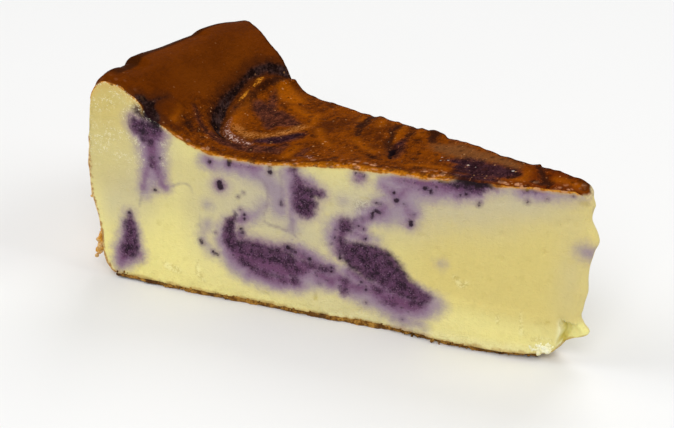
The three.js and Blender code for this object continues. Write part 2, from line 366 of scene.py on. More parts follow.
NEAR_HAZES = [
    [(111.2, 40, 3.2), (110.4, 34, 3), (110.6, 29, 2), (112.6, 24.6, 0.6)],
    [(107.6, 38.6, 0.4), (107.4, 34, 0.4)],
    [(117.2, 14, 1.8), (117.8, 7.6, 3.2), (119.6, 4, 1.6)],
    [(96.6, 36.4, 1.2), (90, 36.2, 1.8), (84, 35.4, 2), (80, 34, 2.2), (77.4, 31, 2.6), (76.8, 26.6, 2.2)],
    [(80.6, 27.6, 1.2), (83, 24.4, 1), (86.4, 22.8, 1.2)],
    [(75, 36.6, 1.6), (73.8, 30, 1.4), (73.6, 22, 1)],
    [(69.4, 36, 0.4)],
    [(95.8, 19.4, 0.4), (96.8, 15.4, 0.8), (94.6, 11.6, 0.8)],
    [(95.7, 24.6, 0.4)],
    [(92, 18, 1.2), (90.6, 14, 2.6), (86, 10.4, 4.4), (77, 9.6, 5), (70, 10.2, 4), (63, 10.6, 3),
     (58, 9.6, 3), (50, 8, 4.6), (42, 7.6, 4.6), (37.4, 9, 2.6)],
    [(70.6, 16.4, 1.2), (66, 14.6, 1), (62.4, 14.2, 0.8)],
    [(62.6, 25, 1.8), (63.4, 20.6, 1.4)],
    [(57.6, 24.8, 1.8), (55, 23.8, 1.4), (52, 23.2, 0.6)],
    [(60, 13.4, 1.8), (56, 10.6, 2)],
    [(52.4, 33.4, 0.8), (50, 34.6, 1.2)],
    [(58.6, 22.8, 1.6), (55.6, 24.4, 1.2)],
    [(50.6, 38.6, 2.2), (46.6, 37, 3.8), (45.4, 33, 3.2), (49, 31, 2.6), (54, 29, 2.2), (57, 27, 1.4)],
    [(44, 37.6, 3), (38, 39, 2.2), (33, 39.6, 1.4), (29, 40.4, 1)],
    [(61, 32.4, 0)],
    [(46.4, 3.4, 1.8), (40.4, 3, 1.6)],
    [(36, 20, 0.2)],
    [(2.2, 30, 1.8), (0.6, 29.6, 1.6)],
    [(22, 42.8, 0.8), (16, 42.6, 1.4), (10, 42.8, 1.1), (4, 44, 0.7)],
]
NEAR_WISPS = [
    [(106.2, 27.4, 0.1), (104, 28.8, -0.1), (102, 29.3, -0.1), (100.5, 28.9, -0.2), (99.7, 27, -0.4)],
    [(98, 22, -0.5), (97.8, 18.6, -0.5), (97.6, 15.4, -0.4)],
    [(84, 35.6, 0.1), (81.2, 33.6, 0), (80.2, 31, 0), (80.2, 26.4, -0.1), (81, 24.4, -0.1)],
    [(77, 37, -0.1), (76.3, 32, -0.1), (76.4, 28.6, 0.1)],
    [(81, 24.4, -0.1), (80.6, 22.9, 0), (79, 22.1, 0), (76.6, 21.8, 0), (74.8, 21.3, -0.1),
     (72.6, 20.3, -0.2)],
    [(73.9, 36, 0.1), (73.9, 30, 0), (73.7, 24, -0.1), (72.8, 20.4, -0.2)],
    [(112.2, 30.4, 0.1), (113, 26.6, 0.1), (113.5, 24.4, 0), (114.4, 20.8, -0.2)],
    [(109, 32.4, 0.1), (108.7, 29, 0.3), (107.8, 27.4, 0.4), (106.6, 27, 0.2)],
    [(71.4, 18.2, -0.2), (72.4, 15.4, 0)],
    [(84.6, 10.8, -0.3), (81, 9.8, -0.3)],
    [(27.7, 40.6, -0.1), (27.7, 38.2, 0)],
    [(16.7, 42.6, -0.1), (16.7, 40.4, -0.1)],
    [(20.6, 43.2, 0), (15, 43.2, 0), (9.6, 43.6, 0), (6, 43.6, 0)],
    [(49.2, 33, 0), (48.8, 30, -0.1)],
]
NEAR_SPECKS = [
    (108.4, 35, 0.25), (110.1, 35.1, 0.15), (109.9, 26.1, 0.35), (108.8, 32.3, 0.15), (117.1, 18.4, 0.35),
    (95.2, 36.4, 0.4), (90.1, 36.6, 0.5), (90, 37.6, 0.6), (92.6, 31.2, 0.7), (92.4, 30.2, 0.8),
    (87.7, 28.3, 0.15), (86.3, 29.6, 0.1), (97.7, 14.4, 0.3), (97.3, 13.8, 0.36), (94.3, 11.8, 0.26),
    (93.9, 11.4, 0.3), (93.2, 11.3, 0.28), (93.7, 17.2, 0.05), (79.5, 37.9, 0.35), (79.4, 36.4, 0.55),
    (76.4, 28.3, 0.3), (76.5, 29, 0.25), (86.1, 23.7, 0.35), (85.9, 22.6, 0.35), (87, 25, 0.15),
    (86.9, 19.7, 0.35), (86.6, 18.6, 0.35), (74.6, 16.9, 0.5), (72.5, 16, 0.3), (70.2, 15.8, 0.25),
    (68.8, 14.9, 0.45), (66.1, 8.5, 0.15), (63.3, 13.6, 0.3), (63.2, 12.6, 0.3), (63.3, 20.2, 0.15),
    (62.6, 22, 0.25), (62.4, 24.2, 0.2), (61.2, 17.6, 0.25), (61, 16.7, 0.4), (61.3, 18.6, 0.2),
    (54.9, 23.1, 0.3), (56.8, 26.2, 0.25), (55.4, 25.6, 0.2), (57.6, 27.6, 0.15), (56, 28.2, 0.12),
    (55.4, 11.1, 0.35), (54.2, 9.2, 0.3), (54, 5.8, 0.2), (51.4, 30.7, 0.3), (51.9, 30.95, 0.35),
    (52.4, 31.1, 0.4), (52.9, 30.9, 0.35), (53.3, 30.3, 0.35), (53.4, 29.7, 0.35), (53.5, 29, 0.3),
    (52.6, 33.2, 0.25), (51.6, 33, 0.25), (48.4, 36.6, 0.35), (47.6, 34.7, 0.6), (45.8, 34.2, 0.12),
    (43.9, 29.7, 0.5), (43.8, 29.1, 0.5), (43.3, 31.8, 0.15), (55.9, 39.6, 0.3), (56.6, 40.3, 0.25),
    (57.8, 40, 0.2), (57.8, 38.2, 0.1), (40.9, 39.1, 0.5), (39.6, 38.8, 0.45), (39.4, 38.3, 0.4),
    (37.6, 41.5, 0.25), (36.9, 41.6, 0.25), (32.4, 38.8, 0.3), (31, 39.5, 0.35), (27.8, 37.7, 0.28),
    (27.8, 37.2, 0.28), (16.7, 40, 0.28), (17, 43.2, 0.4), (12.2, 41.6, 0.1), (6.4, 43.4, 0.12),
    (2.7, 44.6, 0.2), (44.8, 3.2, 0.15), (0.6, 40.7, 0.3),
]

# Fruit on the far cut: that of the near cut moved along, the low strokes turned upside down
FAR_START = 5
FAR_SCALE = 0.94
FAR_TURN_BELOW = 38.5
FAR_TURN = 44

# Broad greyed tints of both cuts: (u, z, reach along, reach up, strength), then strokes on the near cut
TINTS = [
    (84, 28, 15, 12, 0.8), (77, 35, 9, 6, 0.6), (70, 21, 12, 6, 0.6), (58, 31, 8, 7, 0.8),
    (46, 33, 9, 8, 0.75), (32, 36, 13, 7, 0.7), (18, 40, 12, 5, 0.7), (62, 4, 26, 5, 0.45),
    (114, 24, 5, 9, 0.5), (109, 36, 6, 10, 0.4), (95, 18, 6, 10, 0.4), (5, 24, 4, 14, 0.3),
    (121, 20, 5, 7, 0.55),
]
OLIVE_PATCHES = [
    [(4.6, 42.2, 0.3), (3.2, 42.2, 0.5)],
    [(67, 5.4, 0), (67, 4.2, 0.2)],
    [(9.5, 9.9, 0.1)],
    [(109.2, 17, -0.3)],
    [(104.5, 12.8, -0.4)],
    [(23.9, 18.1, -0.3)],
    [(56.6, 34, -0.4), (54.2, 34, -0.3)],
]
COARSE_PATCHES = [
    [(107, 5.4, 0.7), (104.4, 4.8, 0.8), (103.4, 4.4, 0.3)],
    [(98.4, 8.6, 0.1), (98.2, 5, 0.5), (96.6, 3.2, 0.4)],
    [(32.4, 17.4, 0.4), (30.6, 15.4, 0.6), (29.4, 16.4, 0.4)],
    [(21.4, 9, 0.1), (21.3, 7.2, 0.2)],
    [(15.9, 11, 0.1), (15.6, 8, 0.2), (15.4, 5.6, 0.3)],
    [(71.6, 21.4, -0.2), (70.4, 20.6, -0.1)],
    [(67.2, 23.4, -0.2), (67, 22.2, -0.1)],
    [(12.6, 4.4, 0.2), (9.8, 5.4, 0.3), (8, 5.2, 0.3)],
]

# Marks on the top: strokes of (x, y, radius) in plan, from the tip's axis, and single sparkles, which are
# painted highlights
TOP_BLACKS = [
    [(-100.8, 27.4, 0.8), (-102.8, 25.2, 0.9), (-105.2, 21.4, 0.7), (-106.4, 16.4, 0.6),
     (-106.2, 11.4, 0.4), (-105.5, 6, 0.6), (-104.4, 1, 0.9), (-102.6, -3.8, 1.1), (-100.6, -8, 1.1),
     (-97.6, -11.2, 0.8), (-94, -13, 0.3)],
    [(-102.5, 12, -0.5), (-102.2, 6.6, -0.3), (-101.8, 0, 0)],
    [(-108.4, -16.6, -0.3), (-108.5, -21.6, 0.1), (-108.2, -25, 0.9)],
    [(-109.6, -26.8, 1.2), (-108.2, -26.2, 2.2), (-106.4, -25.8, 1.8)],
    [(-54.4, 1.6, 0), (-54.5, 0.4, 0.5), (-53.5, -1.2, 0.3), (-53.4, -2.4, 0)],
]
TOP_DARKS = [
    [(-101.4, 25, 0.5), (-101.8, 20, 0.6), (-101.8, 14, 0.2), (-101.4, 8, -0.2)],
    [(-19.6, 6, 0.2), (-18.4, 6, 0.2)],
    [(-21.6, -1.8, 0.2), (-20.4, 0.4, 0.1)],
    [(-13.4, -2, 0.6), (-11.6, -2, 0.4)],
    [(-84, 19.6, 0.1)],
    [(-94.6, 13.2, 0.1)],
    [(-90.4, 18.2, 0)],
    [(-86.8, 13.2, 0)],
    [(-78.4, 17, 0.1)],
    [(-80.2, 10.6, 0)],
    [(-74.4, 6.8, -0.1)],
    [(-64.2, 7.4, 0)],
    [(-63, -2.4, 0.1)],
    [(-91.2, -2.6, 0)],
    [(-106.4, -9, -0.6), (-101.6, -13.4, -0.2), (-95, -16.4, -0.2), (-88, -16.4, -0.3), (-82, -14, -0.3)],
    [(-102.6, -17.4, 0.3), (-100.4, -19.4, 0.4)],
    [(-99.4, -16.4, 0.1), (-96.4, -18.6, 0.1)],
    [(-70.8, 17.4, 0.9), (-69.8, 12.4, 1), (-68.6, 8, 0.6), (-66.8, 4.8, 0)],
    [(-60.8, 14, 0.6), (-59.8, 9.4, 0.5), (-57.6, 4.4, 0.4), (-55.6, 1, 0.1)],
    [(-56, 13.4, 0.6), (-54.9, 9, 0.4), (-55, 6.6, 0)],
    [(-50.8, 12.8, 0.9), (-49.2, 11.4, 1), (-48.2, 8.6, 0.5)],
    [(-52.4, 7.4, 0.1), (-50.8, 7, 0.1)],
    [(-17.2, 4.6, 0.2), (-15.6, 2.6, 0.5), (-14, 0.2, 0.6), (-12, -1.2, 0.3)],
    [(-15.8, -1.6, 0.2), (-14.2, -2.2, 0.3)],
    [(-60.4, -4.6, -0.1), (-57, -6, 0.2), (-55, -6.6, 0)],
    [(-47.6, 1, 0.2)],
    [(-47, -1.8, 0.1)],
    [(-43.2, -7, 0.4)],
    [(-68.2, -11.2, 0.2)],
    [(-64, -11, 0.1)],
]
TOP_PURPLES = [
    [(-99.4, 9, 1), (-96.4, 7.6, 2.3), (-92, 5.8, 3.1), (-88.4, 4.4, 2.4), (-86.2, 4.8, 1.2)],
    [(-91.4, 2, 1), (-89.6, -0.2, 0.7)],
    [(-99.6, 17, -0.4), (-98.2, 14, 0.2), (-96.4, 10.8, 0.8)],
    [(-93, 10, 0.2), (-89.6, 7.8, 0.8), (-86.6, 5.6, 0.8)],
    [(-97, -14.4, 0.4), (-91, -15.4, 1.4), (-85, -14.8, 2), (-80.6, -12.6, 1.4)],
    [(-79.6, -8.6, 0.2), (-78.8, -13.6, 0.5)],
    [(-73.6, -8, 0), (-72.8, -13, 0.3)],
    [(-104.8, -11, -0.2), (-100, -14.6, 0.2), (-93, -16.6, 0.2), (-86, -14.6, 0.4)],
    [(-54, 4, 0.4), (-52.6, 0, 0.6), (-51.4, -4, 0.2)],
]
TOP_VIOLETS = [
    [(-86.6, -9.4, 0.9), (-83.8, -7.2, 2), (-81.4, -3.6, 1.4), (-80.6, -0.6, 0.6)],
    [(-38.6, 0.6, 0.4), (-33.6, 0.8, 1.8), (-29.4, 0.2, 2.4), (-25.4, -0.2, 2.4), (-21.6, 0, 1.2)],
    [(-35, -1.6, 1), (-30, -1.8, 2), (-25, -1.8, 1.8), (-22.4, -1.4, 0.6)],
    [(-33.6, -3.8, 0.6), (-29.4, -3.8, 1.2), (-25, -3.8, 0.8)],
    [(-32.8, -6.6, 0.8), (-28.4, -5.8, 1), (-24.6, -5.2, 0.8)],
    [(-35, 3, 0.2), (-32, 2.4, 0.6)],
    [(-55, 7.6, -0.4), (-54.8, 5, 0), (-54.6, 2.4, 0.2), (-53.6, -1.4, 0.2)],
]
TOP_LILACS = [
    [(-100, -2, -0.3), (-98.4, -6.2, 0.2), (-96, -9, 0.6), (-92.6, -11.2, 1), (-87.6, -12.4, 0.6)],
    [(-70.6, -12.8, 0.3), (-69.4, -13.2, 0.3)],
]
TOP_AMBERS = [
    [(-101.4, 9, -0.1), (-100.8, 3, 0.1), (-98.8, -2.4, 0.5), (-95, -5.4, 0.9), (-90, -6.4, 0.6),
     (-86, -4.4, 0.3), (-82.6, 0.6, 0.4), (-81.6, 6, 0.4), (-84, 12.6, 0.2)],
    [(-98.8, 20.4, 1.6), (-96.4, 18.8, 2.6), (-94, 18.2, 1.9)],
    [(-92, 14.4, 0.3), (-86, 11.6, 0.5)],
    [(-72.4, 16.8, 0.3), (-71.8, 13.6, 0.1)],
    [(-66, 14.8, 0.3), (-65, 11.8, 0.1)],
    [(-58.8, 13.4, 0), (-58, 8.8, 0.2), (-56.4, 4.6, 0.1)],
    [(-53.2, 12, 0), (-52.4, 9.8, 0)],
    [(-76.4, -8.6, 0.2), (-76, -12, 0.5), (-75.2, -15, 0.5)],
    [(-105.6, -16, -0.6), (-103.4, -21.4, 0)],
    [(-20.4, -2.6, 0), (-18, -2.2, 0.3)],
    [(-19.4, 1.6, 0), (-18.4, -1.4, 0.3)],
    [(-11, 0.8, 0.2), (-7, 0.6, 0.4), (-4.6, 0.2, 0.3)],
    [(-46, -6.4, 0), (-41, -4.8, 0.2), (-37, -4.6, 0.1)],
    [(-78, 4, 0), (-74, -1, 0.2), (-70, -4, 0)],
    [(-66, 2, 0), (-62, -1, 0.2), (-58, -3, 0)],
]
TOP_SANDS = [
    [(-97, -4.4, 0), (-93, -6.4, 0.6), (-89, -6.8, 0.9), (-86, -4.6, 0.6), (-84, -0.6, 0.5),
     (-83, 3.6, 0.1)],
]
# Painted sheen: a greyed brown patch that stands in for the skin's soft reflection
TOP_SHEENS = [
    [(-45.6, 6.4, 1), (-40.6, 6, 2.4), (-35, 5.2, 2.2), (-28, 4.8, 1.4), (-23, 3.6, 0.9)],
]
TORN_STRIP = [
    [(-104.2, 16.6, 0.8), (-103.8, 15, 0.6), (-103.5, 12.8, 0.2)],
    [(-103.6, 10.8, 0.1), (-103.1, 8, 0.35), (-102.6, 4.8, 0.1)],
]
CRACK = [
    [(-54.2, 2, 0), (-54.6, 0.4, 0.3), (-53.4, -1, 0.3), (-53.5, -2.2, 0.1), (-52.3, -4.2, 0)],
]
SPARKLES = [
    (-41.2, 1.3, 0.1), (-40.6, -0.4, 0.1), (-39, 0.3, 0.12), (-37.4, 3.6, 0), (-33.4, 0, 0.15),
    (-34.4, -0.2, 0), (-31.4, -0.2, 0), (-22.4, 1.2, 0.2), (-47.2, -2.2, 0), (-58.2, 4.8, 0),
]

# A distance from every stroke that leaves no mark
FAR_AWAY = 60


def across(pair, s):
    return pair[0] + (pair[1] - pair[0]) * s


def hump(x, centre, width):
    """1 at the centre, fading on both sides over about that width."""
    return np.exp(-(((x - centre) / width) ** 2))


def mound(place, spot, radius):
    return hump(np.linalg.norm(place - spot, axis=1), 0, radius)


def smoothstep(x, low, high):
    t = np.clip((x - low) / (high - low), 0, 1)
    return t * t * (3 - 2 * t)


def window(x, low, high, soft):
    """1 from low to high and 0 outside, with soft ends."""
    return smoothstep(x, low - soft, low + soft) * (1 - smoothstep(x, high - soft, high + soft))


def rough(place, size, seed):
    """A smooth random value from -1 to 1 at each place, uneven over about that size.

    The places are rows of (x, y) or (x, y, z)."""
    table = np.random.default_rng(seed).uniform(-1, 1, (64, 64, 64))
    cell = np.column_stack([place, np.zeros((len(place), 3 - place.shape[1]))]) / size + 500
    low = np.floor(cell).astype(int)
    part = cell - low
    part = part * part * (3 - 2 * part)
    total = np.zeros(len(place))
    for corner in np.ndindex(2, 2, 2):
        weight = np.prod(np.where(corner, part, 1 - part), axis=1)
        total += weight * table[tuple(((low + corner) % 64).T)]
    return total


def uneven(place, layers):
    return sum(height * rough(place, size, seed) for height, size, seed in layers)


def smooth_line(points, steps=5):
    """Points along a smooth (Catmull-Rom) line through the given points."""
    p = np.array(points, float)
    if len(p) < 3:
        return p
    padded = np.vstack([2 * p[0] - p[1], p, 2 * p[-1] - p[-2]])
    t = np.linspace(0, 1, steps, endpoint=False)[:, None]
    spans = []
    for a, b, c, d in zip(padded, padded[1:], padded[2:], padded[3:]):
        bend = (2 * a - 5 * b + 4 * c - d) * t**2 + (3 * b - 3 * c + d - a) * t**3
        spans.append(b + 0.5 * ((c - a) * t + bend))
    return np.vstack(spans + [p[-1:]])


def stroke_distance(place, strokes):
    """Signed distance in mm from 2-D places to the nearest stroke: it is under 0 inside one."""
    nearest = np.full(len(place), float(FAR_AWAY))
    for stroke in strokes:
        line = smooth_line(stroke)
        for start, end in zip(line, line[1:] if len(line) > 1 else line):
            run = end[:2] - start[:2]
            share = np.clip((place - start[:2]) @ run / max(run @ run, 1e-9), 0, 1)
            gap = np.linalg.norm(place - start[:2] - share[:, None] * run, axis=1)
            nearest = np.minimum(nearest, gap - start[2] - share * (end[2] - start[2]))
    return nearest


def far_strokes(strokes):
    """Strokes of the near cut, moved to where the far cut has them."""
    moved = []
    for line in strokes:
        low = max(spot[1] for spot in line) < FAR_TURN_BELOW
        spots = [(FAR_START + FAR_SCALE * u, FAR_TURN - z if low else z, radius) for u, z, radius in line]
        moved.append(spots)
    return moved


def beside_split(place):
    """Distance to the split, share of the way along it, and distance across it, over 0 on the tip's side."""
    line = smooth_line(SPLIT, 9)
    gaps = np.linalg.norm(place[:, None] - line[None], axis=2)
    index = gaps.argmin(axis=1)
    heading = np.gradient(line, axis=0)
    heading /= np.linalg.norm(heading, axis=1)[:, None]
    offset = place - line[index]
    aside = heading[index, 0] * offset[:, 1] - heading[index, 1] * offset[:, 0]
    return gaps.min(axis=1), index / (len(line) - 1), aside


def profile(points, x):
    """Height at x of a smooth line through the points."""
    line = smooth_line(points, 6)
    return np.interp(x, line[:, 0], line[:, 1])


def top_relief(u, s):
    """Relief of the top: the split, the step behind it, cracks, ripples and the worn edges."""
    angle = (s - 0.5) * SPREAD
    place = np.column_stack([-u * np.cos(angle), u * np.sin(angle)])
    distance, share, aside = beside_split(place)
    ragged = uneven(place, SPLIT_RAGGED)
    fade = 1 - smoothstep(share, *SPLIT_FADES)
    groove = SPLIT_DEPTH * fade * hump(distance + ragged, 0, SPLIT_HALF_WIDTH)
    lip = smoothstep(aside + ragged, *SPLIT_LIP)
    step = SPLIT_STEP * fade * lip * np.exp(-distance / SPLIT_STEP_REACH)
    pit = NEAR_PIT_DEPTH * mound(place, NEAR_PIT, NEAR_PIT_RADIUS)
    torn = TORN_RISE * hump(np.maximum(stroke_distance(place, TORN_STRIP) + ragged, 0), 0, TORN_REACH)
    crack = CRACK_DEPTH * hump(stroke_distance(place, CRACK), 0, CRACK_REACH)
    seams = SEAM_DEPTH * hump(np.maximum(stroke_distance(place, TOP_DARKS), 0), 0, CRACK_REACH)
    middle = 1 - smoothstep(u, *MIDDLE_ENDS)
    ripple = middle * uneven(place, TOP_RIPPLE)
    grain = (RIM_GRAIN + MIDDLE_GRAIN * middle) * rough(place, 1, 15)
    from_cut = np.minimum(s, 1 - s) * u * SPREAD
    edge = EDGE_WEAR * hump(from_cut, 0, EDGE_WEAR_REACH) * (1 + rough(place, 2, 16))
    knob = KNOB_RISE * mound(place, KNOB, KNOB_RADIUS)
    near_lift = profile(NEAR_LIFT, u) * hump(s, 0, NEAR_LIFT_REACH)
    lift = near_lift + profile(FAR_LIFT, u) * hump(s, 1, FAR_LIFT_REACH)
    rolled = RIM_ROLL * hump(s, 0, RIM_ROLL_WIDTH) * smoothstep(u, *RIM_ROLL_STARTS)
    end = TIP_WEAR * np.clip(1 - (u - TIP_STARTS) / TIP_WEAR_REACH, 0, 1) ** 2
    return torn + ripple + grain + knob + lift - groove - step - pit - crack - seams - edge - end - rolled


def top_height(u, s):
    crest_at = across(CREST_AT, s)
    fall = across(TOP_FALL, s)
    droop = CREST_DROOP[0] * hump(s, 0, CREST_DROOP_WIDTH) + CREST_DROOP[1] * hump(s, 1, CREST_DROOP_WIDTH)
    crest = across(CREST_HEIGHT, s) - droop + profile(CREST_LIFT, s)
    climb = np.clip((u - RIM_STARTS) / (crest_at - RIM_STARTS), 0, 1) ** CLIMB_POWER
    rim = (crest - across(TIP_HEIGHT, s) + fall * crest_at) * smoothstep(climb, 0, 1)
    over = np.clip((u - crest_at) / (SHOULDER_ENDS - crest_at), 0, 1)
    shoulder = across(SHOULDER_DROP, s) * (1 - (1 - over**SHOULDER_SQUARE) ** (1 / SHOULDER_SQUARE))
    steps = np.interp(s, *np.transpose(CREST_STEPS))
    stepped = steps * smoothstep(u, crest_at - CREST_STEPS_REACH, crest_at)
    level = across(TIP_HEIGHT, s) - fall * np.minimum(u, crest_at)
    return level + rim + stepped - shoulder + top_relief(u, s)


def toe_lift(u):
    return profile(TOE_LIFT, u)


def half_tip(u):
    return (TIP_WIDTH / 2) * (1 - u / LENGTH)


def pores(place, seed):
    """Depth of small open bubbles that the knife has laid bare."""
    rng = np.random.default_rng(seed)
    depth = np.zeros(len(place))
    for _ in range(PORES):
        spot = (rng.uniform(*PORES_ALONG), rng.uniform(*PORES_UPWARD))
        size = rng.uniform(*PORE_SIZE)
        depth = np.maximum(depth, PORE_DEPTH * size * mound(place, spot, size))
    return depth


def scuffed(place):
    return hump(np.linalg.norm((place - SCUFF) / SCUFF_REACH, axis=1), 0, 1)


def wetness(u, z):
    """The moist upper part of the cut at the rim."""
    return window(u, *WET_SPAN) * smoothstep(z, *WET_RISE)


def foot_bulge(u, z, far):
    swelling = FAR_FOOT + FAR_BELLY * hump(u, FAR_BELLY_AT, FAR_BELLY_WIDTH)
    foot = swelling * smoothstep(u, *FAR_FOOT_STARTS) if far else profile(NEAR_FOOT, u)
    return foot * hump(z, 0, FOOT_HEIGHT)


def toe_break(u, z):
    """The near side of the toe has broken away past a ragged upright edge, deepest beside that edge."""
    place = np.column_stack([u, z])
    ragged_u = u + 0.15 * rough(place, 1.6, 25)
    ragged_z = z + 0.3 * rough(place, 1.4, 29)
    gone = 1 - smoothstep(ragged_u, TOE_BREAK - TOE_EDGE_SOFT, TOE_BREAK + TOE_EDGE_SOFT)
    below = 1 - smoothstep(ragged_z, TOE_TOP - TOE_TOP_SOFT, TOE_TOP + TOE_TOP_SOFT)
    crevice_shade = TOE_CREVICE * hump(u, TOE_BREAK - 0.4, 0.6)
    return gone * below * (TOE_DEPTH + crevice_shade - TOE_FILL * hump(u, TIP_STARTS, 1.2))


def cut_bulge(u, z, far):
    """How far a cut stands out from its flat plane: soft foot, knife drag, crease, bubbles and grain."""
    place = np.column_stack([u, z])
    drag = DRAG[far] * np.sin(u * 2 * math.pi / DRAG_PITCH + z / DRAG_LEAN) * smoothstep(u, *DRAG_STARTS)
    wave = uneven(place, CUT_WAVES[far])
    below = 1 - smoothstep(z + 0.5 * rough(place, 6, 24), *CREASE_BAND)
    crease = CREASE_DEPTH * below * window(u, *CREASE_SPAN)
    granular = wetness(u, z) * WET_GRAIN * rough(place, 1.3, 26)
    torn = SCUFF_DEPTH * scuffed(place) * rough(place, 1.1, 27)
    holes = pores(place, PORE_SEED + far)
    fruit = stroke_distance(place, far_strokes(NEAR_CORES) if far else NEAR_CORES)
    sunk = (FRUIT_SUNK + FRUIT_PITTED * rough(place, 0.9, 28)) * (1 - smoothstep(fruit, *FRUIT_EDGE))
    crumbly = FOOT_CRUMBLE * rough(place, 1.2, 30) * hump(z, 2, 2.6)
    shown = foot_bulge(u, z, far) + drag + wave + granular + torn + crumbly - holes - sunk
    return shown + (FAR_CREASE * crease if far else crease - toe_break(u, z))


def wall_radius(up, s):
    place = np.column_stack([s * WALL_SPAN[0], up * WALL_SPAN[1]])
    edge = profile(WALL_EDGE, BASE_THICKNESS + WALL_HEIGHT * up)
    return edge + uneven(place, WALL_BLISTERS) * window(up, 0.03, 0.97, 0.03)


def packed(along):
    """The share of the way from the tip to the wall, with closer steps near both ends."""
    return PACKING * along + (1 - PACKING) * smoothstep(along, 0, 1)


def body_points(along, s, up):
    """Points of the body, their distance from the axis and their depth under the top."""
    u = TIP_STARTS + (wall_radius(up, s) - TIP_STARTS) * packed(along)
    top = top_height(u, s)
    bottom = BASE_THICKNESS + toe_lift(u)
    z = bottom + (top - bottom) * up
    angle = (s - 0.5) * SPREAD
    side = 2 * s - 1
    tip_relief = profile(TIP_EDGE, z) + TIP_ROUND * (1 - side * side)
    x = TIP_X - u * np.cos(angle) + tip_relief * hump(u, TIP_STARTS, TIP_RELIEF_REACH)
    y = u * np.sin(angle) + side * half_tip(u) - (1 - s) * cut_bulge(u, z, 0) + s * cut_bulge(u, z, 1)
    return np.column_stack([x, y, z]), u, top - z


def surface_place(u, s, z):
    """Points of the body's surface, for places on a cut (s of 0 or 1) or, with u beyond it, on the wall."""
    bottom = BASE_THICKNESS + toe_lift(u)
    up = np.clip((z - bottom) / (top_height(np.minimum(u, LENGTH - 3), s) - bottom), 0, 1)
    share = np.clip((u - TIP_STARTS) / (wall_radius(up, s) - TIP_STARTS), 0, 1)
    table = np.linspace(0, 1, 400)
    return body_points(np.interp(share, packed(table), table), s, up)[0]


def box_grid(steps):
    """Faces of a subdivided box as lattice places: whole-number (i, j, k) for each vertex, the faces, and
    each face's side (0 rim, 1 tip, 2 near, 3 far, 4 under, 5 top). i runs from the rim to the tip."""
    steps = np.array(steps)
    quads = []
    sides = []
    for axis in range(3):
        first, second = [a for a in range(3) if a != axis]
        a, b = np.meshgrid(np.arange(steps[first]), np.arange(steps[second]), indexing="ij")
        for high in (0, 1):
            corners = []
            for da, db in ((0, 0), (1, 0), (1, 1), (0, 1)):
                lattice = np.zeros((a.size, 3), int)
                lattice[:, axis] = high * steps[axis]
                lattice[:, first] = a.ravel() + da
                lattice[:, second] = b.ravel() + db
                corners.append(lattice)
            backwards = (high == 0) != (axis == 1)
            quads.append(np.stack(corners[::-1] if backwards else corners, axis=1))
            sides.append(np.full(a.size, 2 * axis + high))
    quads = np.concatenate(quads)
    code = np.ravel_multi_index(quads.reshape(-1, 3).T, steps + 1)
    unique, inverse = np.unique(code, return_inverse=True)
    vertices = np.column_stack(np.unravel_index(unique, steps + 1))
    return vertices, inverse.reshape(-1, 4), np.concatenate(sides)


def make_mesh(name, points_mm, faces, fields, materials, slots):
    """A smooth-shaded mesh object, with a float attribute for each named field."""
    mesh = bpy.data.meshes.new(name)
    mesh.from_pydata((points_mm / 1000).tolist(), [], faces.tolist())
    for field, values in fields.items():
        mesh.attributes.new(field, "FLOAT", "POINT").data.foreach_set("value", values.astype(np.float32))
    for material in materials:
        mesh.materials.append(material)
    mesh.polygons.foreach_set("material_index", slots.astype(np.int32))
    mesh.shade_smooth()
    mesh.set_sharp_from_angle(angle=SHARP_ANGLE)
    mesh.update()
    piece = bpy.data.objects.new(name, mesh)
    bpy.context.collection.objects.link(piece)
    return piece


def linear(colour):
    """Three 0 to 255 screen values as the four linear ones that a shader takes. Others pass as they are."""
    if not isinstance(colour, tuple) or len(colour) != 3:
        return colour
    value = np.array(colour) / 255
    plain = np.where(value <= 0.04045, value / 12.92, ((value + 0.055) / 1.055) ** 2.4)
    return (*plain.tolist(), 1.0)


